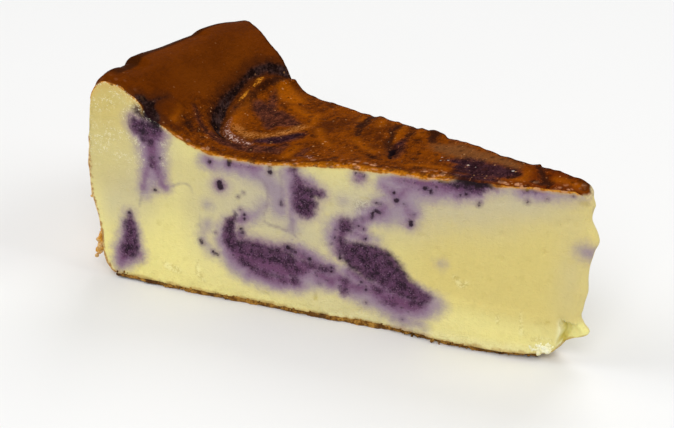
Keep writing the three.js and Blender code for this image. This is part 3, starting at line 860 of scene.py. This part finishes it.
class Shade:
    """Short ways to add nodes to one material, whose colour is built up coat by coat.

    A value is a number, the name of a mesh's field or another node's socket. A colour is three screen
    values, four linear ones or a socket. A swing is a (noise, amount) pair that moves a value about."""

    def __init__(self, name):
        self.material = bpy.data.materials.new(name)
        self.material.use_nodes = True
        self.tree = self.material.node_tree
        self.tree.nodes.clear()
        self.place = self.add("TexCoord").outputs["Object"]
        self.colour = None

    def add(self, kind, inputs=(), **settings):
        node = self.tree.nodes.new("ShaderNode" + kind)
        for name, setting in settings.items():
            setattr(node, name, setting)
        for name, value in dict(inputs).items():
            if isinstance(value, str):
                value = self.add("Attribute", attribute_name=value).outputs["Fac"]
            if isinstance(value, bpy.types.NodeSocket):
                self.tree.links.new(value, node.inputs[name])
            else:
                node.inputs[name].default_value = value
        return node

    def noise(self, size_mm, detail=2, stretch=None):
        place = self.place
        if stretch:
            place = self.add("Mapping", {"Vector": place, "Scale": stretch}).outputs["Vector"]
        node = self.add("TexNoise", {"Vector": place, "Scale": 1000 / size_mm, "Detail": detail})
        return node.outputs["Fac"]

    def dots(self, size_mm, low, high):
        """1 in round spots of uneven width, about one to a cell of that size, and 0 between them."""
        node = self.add("TexVoronoi", {"Vector": self.place, "Scale": 1000 / size_mm})
        return self.ramp(node.outputs["Distance"], high, low, (node.outputs["Color"], -0.7))

    def math(self, operation, a, b):
        return self.add("Math", {0: a, 1: b}, operation=operation).outputs[0]

    def times(self, value, *factors):
        for factor in factors:
            value = self.math("MULTIPLY", value, factor)
        return value

    def sway(self, value, *swings):
        for noise, amount in swings:
            value = self.math("ADD", value, self.times(self.math("SUBTRACT", noise, 0.5), amount))
        return value

    def ramp(self, value, low, high, *swings):
        """0 at low, 1 at high, smooth between and flat beyond. low may be above high."""
        inputs = {"Value": self.sway(value, *swings), "From Min": low, "From Max": high}
        return self.add("MapRange", inputs, interpolation_type="SMOOTHSTEP").outputs["Result"]

    def mix(self, factor, a, b):
        inputs = {"Factor": factor, 6: linear(a), 7: linear(b)}
        return self.add("Mix", inputs, data_type="RGBA").outputs[2]

    def coat(self, mask, strength, colour):
        """Lays a colour over the material's own where the mask is 1, at that strength."""
        self.colour = self.mix(self.times(mask, strength), self.colour, colour)

    def brighten(self, factor):
        inputs = {0: self.colour, "Scale": factor}
        self.colour = self.add("VectorMath", inputs, operation="SCALE").outputs[0]

    def finish(self, roughness, height, bump_mm, specular, glow=0):
        bump = self.add("Bump", {"Distance": bump_mm / 1000, "Height": height})
        inputs = {
            "Base Color": self.colour,
            "Roughness": roughness,
            "Specular IOR Level": specular,
            "Normal": bump.outputs["Normal"],
        }
        if glow:
            inputs["Subsurface Weight"] = glow
            inputs["Subsurface Radius"] = GLOW_RADIUS
            inputs["Subsurface Scale"] = GLOW_SCALE
        shader = self.add("BsdfPrincipled", inputs)
        self.add("OutputMaterial", {"Surface": shader.outputs["BSDF"]})
        return self.material


def cut_material():
    sh = Shade("cheesecake_cut")
    broad = sh.noise(12, 3)
    medium = sh.noise(3, 3)
    fine = sh.noise(0.9, 2)
    grain = sh.noise(0.38, 1)
    near_foot = sh.ramp("height", 5.5, 1, (medium, 3))

    # Cream, its greyed parts, and the crumbly foot
    sh.colour = sh.mix(sh.ramp(broad, 0.35, 0.65), (223, 210, 138), (231, 219, 143))
    sh.coat("rim_cut", 1, (214, 200, 136))
    sh.coat("rim_high", 1, (210, 190, 116))
    # Painted shade and light: towards the tip the cut is painted a darker tan above the foot, and the foot
    # is painted lighter
    sh.coat("right", 1, (221, 203, 125))
    sh.coat("foot", 1, (239, 227, 146))
    # Painted light and shade at the toe: its flap is painted lighter, a strip beside its broken edge is a
    # painted highlight, and the crevice behind it is painted shade
    sh.coat("toe", 1, (238, 230, 148))
    sh.coat("lit", 0.8, (255, 251, 208))
    sh.coat("crevice_shade", 0.85, (198, 180, 44))
    sh.coat("pale_foot", 0.6, (238, 229, 170))
    cloud = sh.ramp(broad, -0.3, 0.5, (medium, 0.6), (fine, 0.2))
    sh.coat("veil", cloud, (194, 184, 160))
    sh.coat(sh.times(near_foot, sh.ramp(fine, 0.5, 0.68, (grain, 0.6))), 0.25, (204, 182, 108))
    sh.coat(sh.ramp("height", 0.9, 0, (medium, 2.4), (fine, 0.6)), 0.65, (178, 136, 66))
    sh.coat(sh.times(sh.dots(2.6, 0.1, 0.2), sh.ramp(medium, 0.42, 0.58)), 0.12, (196, 176, 92))
    curd = sh.mix(sh.ramp(fine, 0.38, 0.62, (grain, 0.6)), (192, 172, 96), (247, 240, 182))
    sh.coat(sh.ramp("coarse", 0.8, -0.4, (medium, 1.2), (fine, 0.8)), 0.4, curd)
    streak = sh.noise(1.2, 2, STREAK_STRETCH)
    sh.brighten(sh.sway(1, (streak, 0.07), (fine, 0.06), (grain, 0.05)))
    sh.coat(sh.ramp("olive", 1, -0.6, (fine, 1), (grain, 0.4)), 0.65, (186, 164, 62))

    # Scuffed patch: pale curds with dark gaps
    curds = sh.mix(sh.ramp(fine, 0.4, 0.6, (grain, 0.7)), (128, 112, 108), (222, 215, 190))
    sh.coat(sh.ramp("scuff", 0.35, 0.8, (medium, 0.5), (fine, 0.6)), 0.35, curds)

    # Fruit, from its faint haze to its dark heart
    haze = sh.sway("haze", (medium, 2.8), (fine, 1.2), (grain, 0.5))
    sh.coat(sh.ramp(haze, 3, -2.2), 0.9, (156, 138, 152))
    sh.coat(sh.ramp("wisp", 0.9, -0.4, (medium, 1.2), (fine, 0.6)), 0.55, (132, 112, 124))
    halo = sh.sway("halo", (medium, 2.2), (fine, 1.2), (grain, 0.5))
    sh.coat(sh.ramp(halo, 3.4, -0.6), 0.7, (152, 126, 150))
    sh.coat(sh.ramp(halo, 1.4, -1.6), 0.85, (124, 86, 118))
    sh.coat(sh.ramp(halo, -0.4, -2.6), 0.8, (106, 62, 96))
    mottle = sh.ramp(sh.noise(1.7, 3), 0.3, 0.7, (fine, 0.5), (grain, 0.5))
    heart = sh.mix(mottle, (38, 18, 35), (94, 59, 87))
    sh.coat(sh.ramp("core", 1.3, -0.9, (medium, 2), (fine, 1), (grain, 0.3)), 0.96, heart)
    fruit = sh.ramp(halo, 0.6, -1.4)
    pits = sh.times(sh.dots(0.7, 0.1, 0.4), sh.ramp(medium, 0.36, 0.6, (fine, 0.5)), fruit)
    sh.coat(pits, 0.55, (28, 10, 25))
    # Painted glints: pale lilac grains in the fruit
    sh.coat(sh.times(sh.ramp(grain, 0.62, 0.76, (fine, -0.4)), fruit), 0.3, (166, 138, 158))
    speck = sh.sway("speck", (fine, 0.5), (grain, 0.3))
    sh.coat(sh.ramp(speck, 1.2, 0), 0.5, (112, 86, 108))
    sh.coat(sh.ramp(speck, 0.34, -0.16), 0.95, (38, 18, 34))

    # Browned line under the skin, stained black where fruit has boiled through
    bare = sh.times(sh.math("SUBTRACT", 1, "stained"), "skinned")
    warm = sh.ramp("browned", 1, 0.1, (medium, 0.9), (fine, 0.3))
    sh.coat(sh.times(warm, bare), 0.5, (216, 176, 92))
    line = sh.mix(sh.ramp(medium, 0.42, 0.58, (fine, 0.8)), (168, 102, 14), (206, 140, 44))
    line = sh.mix(sh.times(sh.dots(1.9, 0.2, 0.4), 0.6), line, (74, 38, 16))
    line = sh.mix(sh.times(sh.dots(2.4, 0.15, 0.32), 0.6), line, (216, 164, 122))
    sh.coat(sh.ramp("depth", 0.7, 0.3, (medium, 1.2), (fine, 0.4)), bare, line)
    sh.coat("stained", sh.ramp("depth", 2, 0.4, (medium, 2.4), (fine, 1.2)), (28, 10, 18))

    # Crust of the outer wall, seen at its edge
    brown = sh.mix(sh.ramp(fine, 0.4, 0.6, (medium, 0.6)), (164, 112, 56), (216, 180, 124))
    sh.coat(sh.ramp("crust", 0.7, 0.2, (broad, 1.6), (medium, 1.4), (fine, 0.8)), 0.85, brown)

    # Painted glints at the moist rim, away from the fruit: pale specks that stand in for highlights
    painted_glints = sh.times(sh.ramp(grain, 0.52, 0.74, (fine, 0.6)), sh.ramp(medium, 0.4, 0.6))
    sh.coat(sh.times(painted_glints, "wet", sh.ramp(halo, -0.5, 1.5)), 0.55, (246, 241, 208))
    height = sh.sway(sh.times(fine, 0.6), (grain, 0.5), (pits, -0.5))
    roughness = sh.math("SUBTRACT", 0.5, sh.times("wet", 0.2))
    return sh.finish(roughness, height, 0.35, 0.12, 0.1)


def skin_material():
    sh = Shade("cheesecake_skin")
    broad = sh.noise(8, 3, SKIN_STRETCH)
    medium = sh.noise(2, 3, SKIN_STRETCH)
    fine = sh.noise(0.8, 2, SKIN_STRETCH)
    grain = sh.noise(0.36, 1, SKIN_STRETCH)
    inner = sh.math("SUBTRACT", 1, sh.times("rim", 0.85))

    # Browned skin: richer inside the rim, duller on it, with a warm slope between and a redder tip
    patches = sh.ramp(broad, 0.2, 0.8, (medium, 0.8), (fine, 0.45), (grain, 0.3))
    middle = sh.mix(patches, (78, 33, 2), (120, 57, 1))
    outer = sh.mix(sh.ramp(broad, 0.3, 0.7, (medium, 0.4), (fine, 0.2)), (86, 37, 2), (101, 45, 2))
    outer = sh.mix(sh.times("slope", sh.ramp(broad, 0.1, 0.9)), outer, (105, 50, 5))
    freckle = sh.ramp(fine, 0.6, 0.8, (medium, 0.7), (grain, 0.6))
    outer = sh.mix(sh.times(freckle, 0.25), outer, (70, 28, 2))
    sh.colour = sh.mix("rim", middle, outer)
    sh.coat("tip", 0.85, (98, 38, 2))

    # Strokes of amber, sand and fruit, and a grey patch of painted sheen
    sandy = sh.mix(sh.ramp(grain, 0.4, 0.62, (fine, 0.7)), (124, 68, 16), (176, 118, 62))
    mottle = sh.ramp(medium, 0.3, 0.7, (fine, 0.6), (grain, 0.5))
    purple = sh.mix(mottle, (46, 21, 17), (88, 46, 33))
    violet = sh.mix(mottle, (30, 12, 20), (58, 33, 41))
    for name, start, full, swing, strength, colour in (
        ("amber", 2.2, -1.4, 2.4, 0.8, (154, 79, 0)),
        ("grey", 2.4, -1.2, 2.4, 0.8, (112, 70, 36)),
        ("sand", 2.6, -0.8, 2.4, 0.7, sandy),
        ("purple", 1.7, -0.5, 1.3, 0.9, purple),
        ("violet", 2, -0.8, 2.4, 0.95, violet),
        ("lilac", 1.2, -0.8, 2.4, 0.24, (126, 86, 76)),
        ("dark", 1.3, -0.5, 2.4, 0.88, (42, 18, 8)),
    ):
        swings = [(medium, swing), (fine, swing / 2), (grain, swing / 4)]
        sh.coat(sh.ramp(name, start, full, *swings), strength, colour)

    # Sooty split, crack, torn strip, frost, and the rim's dark back past the crest: partly darker curled
    # skin, partly painted shade
    black = sh.sway("black", (medium, 1.2), (fine, 0.6), (grain, 0.2))
    sh.coat(sh.ramp(black, 2.6, 0.2), 0.6, (58, 28, 14))
    # The split's own black, with a lighter grey mottle that is painted sheen
    soot = sh.mix(sh.ramp(medium, 0.4, 0.75, (fine, 0.5), (grain, 0.4)), (26, 13, 11), (64, 45, 42))
    sh.coat(sh.ramp(black, 0.6, -0.4), 1, soot)
    sh.coat(sh.ramp("crack", 0.7, 0.1, (fine, 0.6), (grain, 0.2)), 1, (18, 7, 10))
    strip = sh.mix(sh.ramp(grain, 0.4, 0.62, (fine, 0.8)), (112, 58, 10), (196, 126, 34))
    sh.coat(sh.ramp("torn", 0.35, -0.05, (medium, 0.6), (fine, 0.8), (grain, 0.5)), 0.9, strip)
    dusted = sh.ramp("lilac", 0.9, -0.4, (fine, 1.2))
    frost = sh.ramp(grain, 0.54, 0.66, (fine, 0.9), (medium, 0.4))
    sh.coat(sh.times(dusted, frost), 0.7, (204, 176, 166))
    sh.coat(sh.ramp("back", 0.2, 0.9, (medium, 0.5), (fine, 0.3)), 0.85, (52, 23, 5))

    # Worn near edge: golden, with peach flecks and dark specks, or stained by fruit. The far edge is dark.
    bare = sh.math("SUBTRACT", 1, "stained")
    edge = sh.sway("edge", (medium, 3), (fine, 1.2), (grain, 0.4))
    golden = sh.mix(sh.ramp(medium, 0.4, 0.6, (fine, 0.9)), (152, 84, 6), (196, 118, 18))
    golden = sh.mix("rim", golden, (104, 52, 8))
    sh.coat(sh.times(sh.ramp(edge, 2, 0.4), bare), 0.8, golden)
    close = sh.times(sh.ramp(edge, 4.6, 2), bare, inner)
    flecks = sh.times(sh.dots(1.6, 0.16, 0.44), sh.ramp(broad, 0.38, 0.55))
    sh.coat(sh.times(flecks, close), 0.65, (206, 148, 108))
    sh.coat(sh.times(sh.dots(1.9, 0.15, 0.42), close), 0.6, (62, 28, 12))
    sh.coat(sh.times("stained", sh.ramp(edge, 3.4, 0.6)), 0.85, (34, 15, 18))
    sh.coat(sh.ramp("far_edge", 1, 0, (medium, 2), (fine, 1)), 0.7, (58, 28, 8))

    # Fine dark specks, and pale painted glints and sparkles, mostly inside the rim
    peppered = sh.times(sh.dots(2.2, 0.08, 0.34), sh.ramp(medium, 0.4, 0.6, (broad, 0.5)), inner)
    sh.coat(peppered, 0.5, (46, 18, 6))
    pits = sh.times(sh.dots(1.5, -0.06, 0.12), sh.ramp(medium, 0.3, 0.6, (broad, -0.5)), inner)
    sh.coat(pits, 0.7, (38, 14, 5))
    sh.coat(sh.times(sh.dots(1.2, -0.14, 0.02), sh.sway(0.55, (inner, 0.9))), 0.5, (206, 150, 98))
    sh.coat(sh.times(sh.ramp(grain, 0.72, 0.84, (fine, 0.5)), inner), 0.35, (190, 126, 70))
    sh.coat(sh.ramp("sparkle", 0.3, 0), 0.6, (232, 216, 204))
    sh.coat("bare", 1, (192, 174, 132))
    granular = sh.times(sh.sway(0, (fine, 0.5), (grain, 0.8)), sh.sway(0.72, (inner, 0.55)))
    sh.brighten(sh.math("ADD", 1, granular))
    height = sh.math("ADD", sh.times(fine, 0.6), sh.times(grain, 0.4))
    roughness = sh.math("ADD", 0.3, sh.times(medium, 0.25))
    return sh.finish(roughness, height, 0.3, 0.004)


def wall_material():
    sh = Shade("cheesecake_wall")
    broad = sh.noise(14, 3)
    medium = sh.noise(3, 3)
    fine = sh.noise(0.8, 2)
    sh.colour = sh.mix(sh.ramp(broad, 0.3, 0.7, (medium, 0.4)), (220, 190, 134), (196, 154, 96))
    sh.coat(sh.ramp(medium, 0.55, 0.85, (broad, 0.6), (fine, 0.6)), 0.6, (140, 90, 38))
    sh.coat(sh.dots(2.6, 0, 0.3), 0.18, (124, 80, 36))
    top = sh.sway("depth", (broad, 12), (medium, 5), (fine, 2))
    sh.coat(sh.ramp(top, 18, 3), 1, (132, 78, 24))
    sh.coat(sh.ramp(top, 8, 0), 1, (72, 33, 6))
    # Darkest at the wall's top, in the colour of the painted shade past the crest
    sh.coat(sh.ramp("depth", 3.4, 0.4, (medium, 1.6)), 1, (52, 23, 5))
    sh.coat(sh.ramp("side", 1.6, 0.4, (medium, 1.6), (fine, 0.8)), 1, (228, 206, 132))
    return sh.finish(0.6, sh.math("ADD", fine, medium), 0.4, 0.02, 0.05)


def crumb_material(name, dark, middle, light):
    sh = Shade(name)
    broad = sh.noise(5, 2)
    medium = sh.noise(1.5, 3)
    fine = sh.noise(0.5, 2)
    sh.colour = sh.mix(sh.ramp(medium, 0.35, 0.65, (fine, 0.5)), middle, light)
    sh.coat(sh.ramp(broad, 0.5, 0.7, (fine, 0.6)), 0.8, dark)
    return sh.finish(0.7, sh.math("ADD", fine, medium), 0.4, 0.2)


def floor_material():
    sh = Shade("floor")
    soft = sh.noise(200, 2)
    sh.colour = sh.mix(soft, *FLOOR_GREYS)
    return sh.finish(0.6, soft, 0.05, 0.2)


def veil(place):
    """How strongly the broad tints grey the filling."""
    clear = np.ones(len(place))
    for u, z, along, upward, strength in TINTS:
        clear *= 1 - strength * hump(np.hypot((place[:, 0] - u) / along, (place[:, 1] - z) / upward), 0, 1)
    return 1 - clear


def seen_place(points):
    """Where points at the near cut are seen on its flat plane: their distance from the axis and height."""
    angle = SPREAD / 2
    back = TIP_X - points[:, 0]
    aside = -points[:, 1]
    u = back * math.cos(angle) + aside * math.sin(angle)
    out = aside * math.cos(angle) - back * math.sin(angle)
    seen_u = u + SEEN_SHIFT[0] + SEEN_SLANT[0] * out
    seen_z = points[:, 2] + SEEN_SHIFT[1] + SEEN_SLANT[1] * out
    return np.column_stack([seen_u, seen_z])


def make_body():
    lattice, faces, sides = box_grid(BODY_STEPS)
    from_rim, s, up = (lattice / BODY_STEPS).T
    points, u, depth = body_points(1 - from_rim, s, up)
    z = points[:, 2]
    height = z - BASE_THICKNESS - toe_lift(u)
    near = s < 0.5
    cut_place = np.column_stack([u, z])
    cut_place[near] = seen_place(points[near])
    seen_u, seen_z = cut_place.T
    plan = np.column_stack([points[:, 0] - TIP_X, points[:, 1]])
    seen_plan = plan + np.outer(smoothstep(u, *SEEN_DIP_STARTS), SEEN_DIP)
    toe_side = 1 - smoothstep(u, TOE_BREAK - 0.3, TOE_BREAK + 0.2)
    beside_toe = smoothstep(seen_u, 5.1, 5.4) * (1 - smoothstep(seen_u, 5.6, 7.6))
    in_crevice_shade = smoothstep(-seen_u, -5.3, -5.1) * smoothstep(seen_u, 3.4, 4.9)

    def on_cuts(strokes):
        field = np.full(len(points), float(FAR_AWAY))
        field[near] = stroke_distance(cut_place[near], strokes)
        field[~near] = stroke_distance(cut_place[~near], far_strokes(strokes))
        return field

    # Each field's numbers are places along u, heights, or shares of the way across
    fields = {
        "core": on_cuts(NEAR_CORES),
        "halo": on_cuts(NEAR_HALOS),
        "haze": on_cuts(NEAR_HAZES),
        "speck": on_cuts([[spot] for spot in NEAR_SPECKS]),
        "wisp": on_cuts(NEAR_WISPS),
        "olive": np.where(near, stroke_distance(cut_place, OLIVE_PATCHES), FAR_AWAY),
        "coarse": np.where(near, stroke_distance(cut_place, COARSE_PATCHES), FAR_AWAY),
        "scuff": near * scuffed(cut_place),
        "veil": veil(cut_place),
        "depth": depth,
        "height": height,
        "browned": depth / (1.4 + 1.8 * smoothstep(u, 104, 116)),
        "crust": wall_radius(up, s) - u + 3 * window(z, 39, 49.5, 2),
        "side": s * u * SPREAD + 4 * smoothstep(z, 47, 50),
        "rim_cut": smoothstep(u, 108, 118),
        "rim_high": smoothstep(u, 112, 122) * smoothstep(z, 34, 48),
        # Masks of the painted shade above the foot near the tip, and of the painted light on the foot
        "right": (1 - smoothstep(u, 34, 56)) * smoothstep(z, 6, 12),
        "foot": 1 - smoothstep(z - 0.14 * (u - 40), 7, 16),
        "pale_foot": (1 - smoothstep(height, 0.8, 3.4)) * window(u, 9, 62, 6),
        "wet": wetness(u, z),
        "skinned": smoothstep(u, 3.4, 4.6),
        "stained": near * (window(u, 24.5, 33.5, 1.5) + window(u, 107.4, 112.2, 0.7)),
        # Masks of the painted light and shade at the toe and its broken edge
        "toe": near * toe_side * (1 - smoothstep(z, 10.5, 12)),
        "lit": near * beside_toe * window(seen_z, 4.4, 11, 0.6),
        "crevice_shade": near * in_crevice_shade * window(seen_z, 5, 10.6, 0.6),
        "rim": smoothstep(u, 103, 110),
        "slope": window(u, 103, 116, 4) * window(s, 0.3, 0.85, 0.15),
        "tip": 1 - smoothstep(u, 14, 26),
        # Past the crest: painted shade, partly a darker curled skin
        "back": smoothstep(u - across(CREST_AT, s), -0.6, 1.4) * smoothstep(s, 0.02, 0.1),
        "bare": 1 - smoothstep(u + 0.4 * rough(plan, 1.2, 61), 2.9, 3.7),
        "edge": s * u * SPREAD + 1.6 * (1 - smoothstep(u, 20, 36)) + 0.8 * smoothstep(u, 64, 80),
        "far_edge": (1 - s) * u * SPREAD,
    }
    for name, strokes in {
        "black": TOP_BLACKS,
        "dark": TOP_DARKS,
        "purple": TOP_PURPLES,
        "violet": TOP_VIOLETS,
        "lilac": TOP_LILACS,
        "amber": TOP_AMBERS,
        "grey": TOP_SHEENS,
        "sand": TOP_SANDS,
        "torn": TORN_STRIP,
        "crack": CRACK,
        "sparkle": [[spot] for spot in SPARKLES],
    }.items():
        fields[name] = stroke_distance(seen_plan, strokes)
    slot_of_side = np.array([2, 0, 0, 0, 0, 1])
    materials = [cut_material(), skin_material(), wall_material()]
    return make_mesh("cheesecake_body", points, faces, fields, materials, slot_of_side[sides])


def base_inset(u):
    """How much further in the base's edge lies towards the toe."""
    return BASE_TOE_INSET * (1 - smoothstep(u, BASE_STARTS, BASE_TOE_ENDS))


def make_base():
    lattice, faces, _ = box_grid(BASE_STEPS)
    from_rim, s, up = (lattice / BASE_STEPS).T
    along = 1 - from_rim
    u = BASE_STARTS + (BASE_ENDS - BASE_STARTS) * along
    angle = (s - 0.5) * SPREAD
    side = 2 * s - 1
    place = np.column_stack([u, u * np.sin(angle), up * BASE_THICKNESS])
    ragged = BASE_EDGE * uneven(place, BASE_RAGGED)
    floor_level = np.zeros_like(u)
    foot = np.where(s < 0.5, foot_bulge(u, floor_level, 0), foot_bulge(u, floor_level, 1))
    reach = half_tip(u) + foot - BASE_INSET - base_inset(u) + ragged
    x = TIP_X - u * np.cos(angle) + ragged * (1 - 2 * along)
    y = u * np.sin(angle) + side * reach
    worn = BASE_WORN * smoothstep(u, *BASE_WORN_STARTS) * (1 - smoothstep(s, *BASE_WORN_ENDS))
    under = (BASE_UNDER * (1 + rough(place, 1.3, 53)) + worn) * (1 - up)
    z = toe_lift(u) + np.maximum(up * BASE_THICKNESS, under)
    points = np.column_stack([x, y, z])
    material = crumb_material("crumb_base", *BASE_SHADES)
    return make_mesh("crumb_base_layer", points, faces, {}, [material], np.zeros(len(faces)))


def make_lumps(name, places, sizes, seed, shades):
    """One mesh of uneven, randomly turned balls."""
    rng = np.random.default_rng(seed)
    lattice, faces, _ = box_grid(LUMP_STEPS)
    cube = 2 * lattice / LUMP_STEPS - 1
    ball = cube / np.linalg.norm(cube, axis=1)[:, None]
    points = []
    for place, size in zip(places, sizes):
        stretch = rng.uniform(*LUMP_STRETCH, 3)
        turn = np.linalg.qr(rng.normal(size=(3, 3)))[0]
        turn *= np.sign(np.linalg.det(turn))
        knobbly = 1 + LUMP_KNOBS * rng.uniform(-1, 1, len(ball))
        points.append(place + size * (ball * knobbly[:, None] * stretch) @ turn)
    offsets = np.arange(len(points))[:, None, None] * len(ball)
    joined = (faces[None] + offsets).reshape(-1, 4)
    material = crumb_material(name, *shades)
    return make_mesh(name, np.vstack(points), joined, {}, [material], np.zeros(len(joined)))


def make_base_crumbs():
    """Crumbs worked loose along both feet of the base, and a few at the rim's near corner."""
    rng = np.random.default_rng(BASE_CRUMB_SEEDS[0])
    places = []
    for far, count in enumerate(BASE_CRUMBS):
        u = rng.uniform(BASE_STARTS + 1, BASE_ENDS - BASE_CRUMBS_STOP, count)
        spot = surface_place(u, np.full(count, float(far)), BASE_THICKNESS + toe_lift(u))
        spot[:, 2] -= rng.uniform(-0.2, 1, count)
        spot[:, 1] -= (2 * far - 1) * (rng.uniform(0, 0.4, count) + base_inset(u))
        places.append(spot)
    u = rng.uniform(BASE_ENDS - 4, BASE_ENDS + 1.5, CORNER_CRUMBS)
    places.append(surface_place(u, np.zeros(CORNER_CRUMBS), rng.uniform(*CORNER_UP, CORNER_CRUMBS)))
    places = np.vstack(places)
    sizes = rng.uniform(*BASE_CRUMB_SIZE, len(places))
    places[:, 2] = np.maximum(places[:, 2], sizes)
    return make_lumps("crust_crumbs", places, sizes, BASE_CRUMB_SEEDS[1], BASE_SHADES)


def make_toe_crumbs():
    """The small pale heap of filling that lies by the toe."""
    rng = np.random.default_rng(TOE_CRUMB_SEEDS[0])
    spots = rng.normal(TOE_HEAP, TOE_HEAP_SPREAD, (TOE_CRUMBS, 2))
    u = np.maximum(spots[:, 0], TOE_BREAK + 0.6)
    places = surface_place(u, np.zeros(TOE_CRUMBS), spots[:, 1])
    sizes = rng.uniform(*TOE_CRUMB_SIZE, TOE_CRUMBS)
    places[:, 1] += rng.uniform(*TOE_HEAP_SUNK, TOE_CRUMBS) * sizes
    places[:, 2] = np.maximum(places[:, 2], sizes)
    return make_lumps("cream_crumbs", places, sizes, TOE_CRUMB_SEEDS[1], CREAM_SHADES)


def make_flakes():
    """The flake that hangs from the wall's near edge, and crumbs over the wall."""
    rng = np.random.default_rng(WALL_CRUMB_SEEDS[0])
    s = rng.uniform(0, 1, WALL_CRUMBS)
    lowest, span = WALL_CRUMBS_UP
    heights = lowest + span * rng.uniform(0, 1, WALL_CRUMBS) ** 1.5
    small = surface_place(np.full(WALL_CRUMBS, BEYOND_WALL), s, heights)
    flake = np.array(FLAKE)
    back = rng.uniform(0, FLAKE_BACK, len(flake))
    hanging = surface_place(np.full(len(flake), BEYOND_WALL), back, flake[:, 1])
    hanging[:, 0] = TIP_X - flake[:, 0] * math.cos(SPREAD / 2)
    places = np.vstack([hanging, small])
    sizes = np.concatenate([flake[:, 2], rng.uniform(*WALL_CRUMB_SIZE, WALL_CRUMBS)])
    return make_lumps("crust_flakes", places, sizes, WALL_CRUMB_SEEDS[1], FLAKE_SHADES)


def add_floor():
    bpy.ops.mesh.primitive_grid_add(
        x_subdivisions=FLOOR_STEPS, y_subdivisions=FLOOR_STEPS, size=FLOOR_SIZE, location=(0, 0, 0)
    )
    floor = bpy.context.object
    floor.name = "floor"
    floor.data.materials.append(floor_material())


def add_light(name, place, size, watts):
    lamp = bpy.data.lights.new(name, "AREA")
    lamp.energy = watts
    lamp.size = size
    light = bpy.data.objects.new(name, lamp)
    bpy.context.collection.objects.link(light)
    light.location = place
    aim = -light.location.normalized()
    light.rotation_euler = aim.to_track_quat("-Z", "Y").to_euler()


def add_world():
    world = bpy.data.worlds.new("studio")
    bpy.context.scene.world = world
    world.use_nodes = True
    background = world.node_tree.nodes["Background"]
    background.inputs["Color"].default_value = (1, 1, 1, 1)
    background.inputs["Strength"].default_value = WORLD_STRENGTH


def add_camera():
    bearing, rise, roll = np.radians([CAMERA_BEARING, CAMERA_RISE, CAMERA_ROLL])
    back = np.array([np.sin(bearing) * np.cos(rise), -np.cos(bearing) * np.cos(rise), np.sin(rise)])
    level = np.cross(-back, [0, 0, 1])
    level /= np.linalg.norm(level)
    upright = np.cross(level, -back)
    right = np.cos(roll) * level + np.sin(roll) * upright
    over = np.cos(roll) * upright - np.sin(roll) * level
    lens = bpy.data.cameras.new("camera")
    lens.sensor_fit = "HORIZONTAL"
    lens.sensor_width = CAMERA_SENSOR
    lens.lens = CAMERA_SENSOR * CAMERA_FOCAL / IMAGE_WIDTH
    lens.clip_start = 0.01
    camera = bpy.data.objects.new("camera", lens)
    bpy.context.collection.objects.link(camera)
    pose = np.eye(4)
    pose[:3, :3] = np.column_stack([right, over, back])
    pose[:3, 3] = (np.array(CAMERA_TARGET) + back * CAMERA_DISTANCE) / 1000
    camera.matrix_world = Matrix(pose.tolist())
    bpy.context.scene.camera = camera


add_floor()
add_world()
for light in LIGHTS:
    add_light(*light)
add_camera()
bpy.context.scene.view_settings.view_transform = "Standard"

body = make_body()
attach(body, "root")
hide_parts("cheesecake")

base = make_base()
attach(base, "root")
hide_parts("crumb_base")

for crumbs, slot in (
    (make_base_crumbs(), "crumb_base"),
    (make_toe_crumbs(), "cheesecake"),
    (make_flakes(), "cheesecake"),
):
    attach(crumbs, "root")
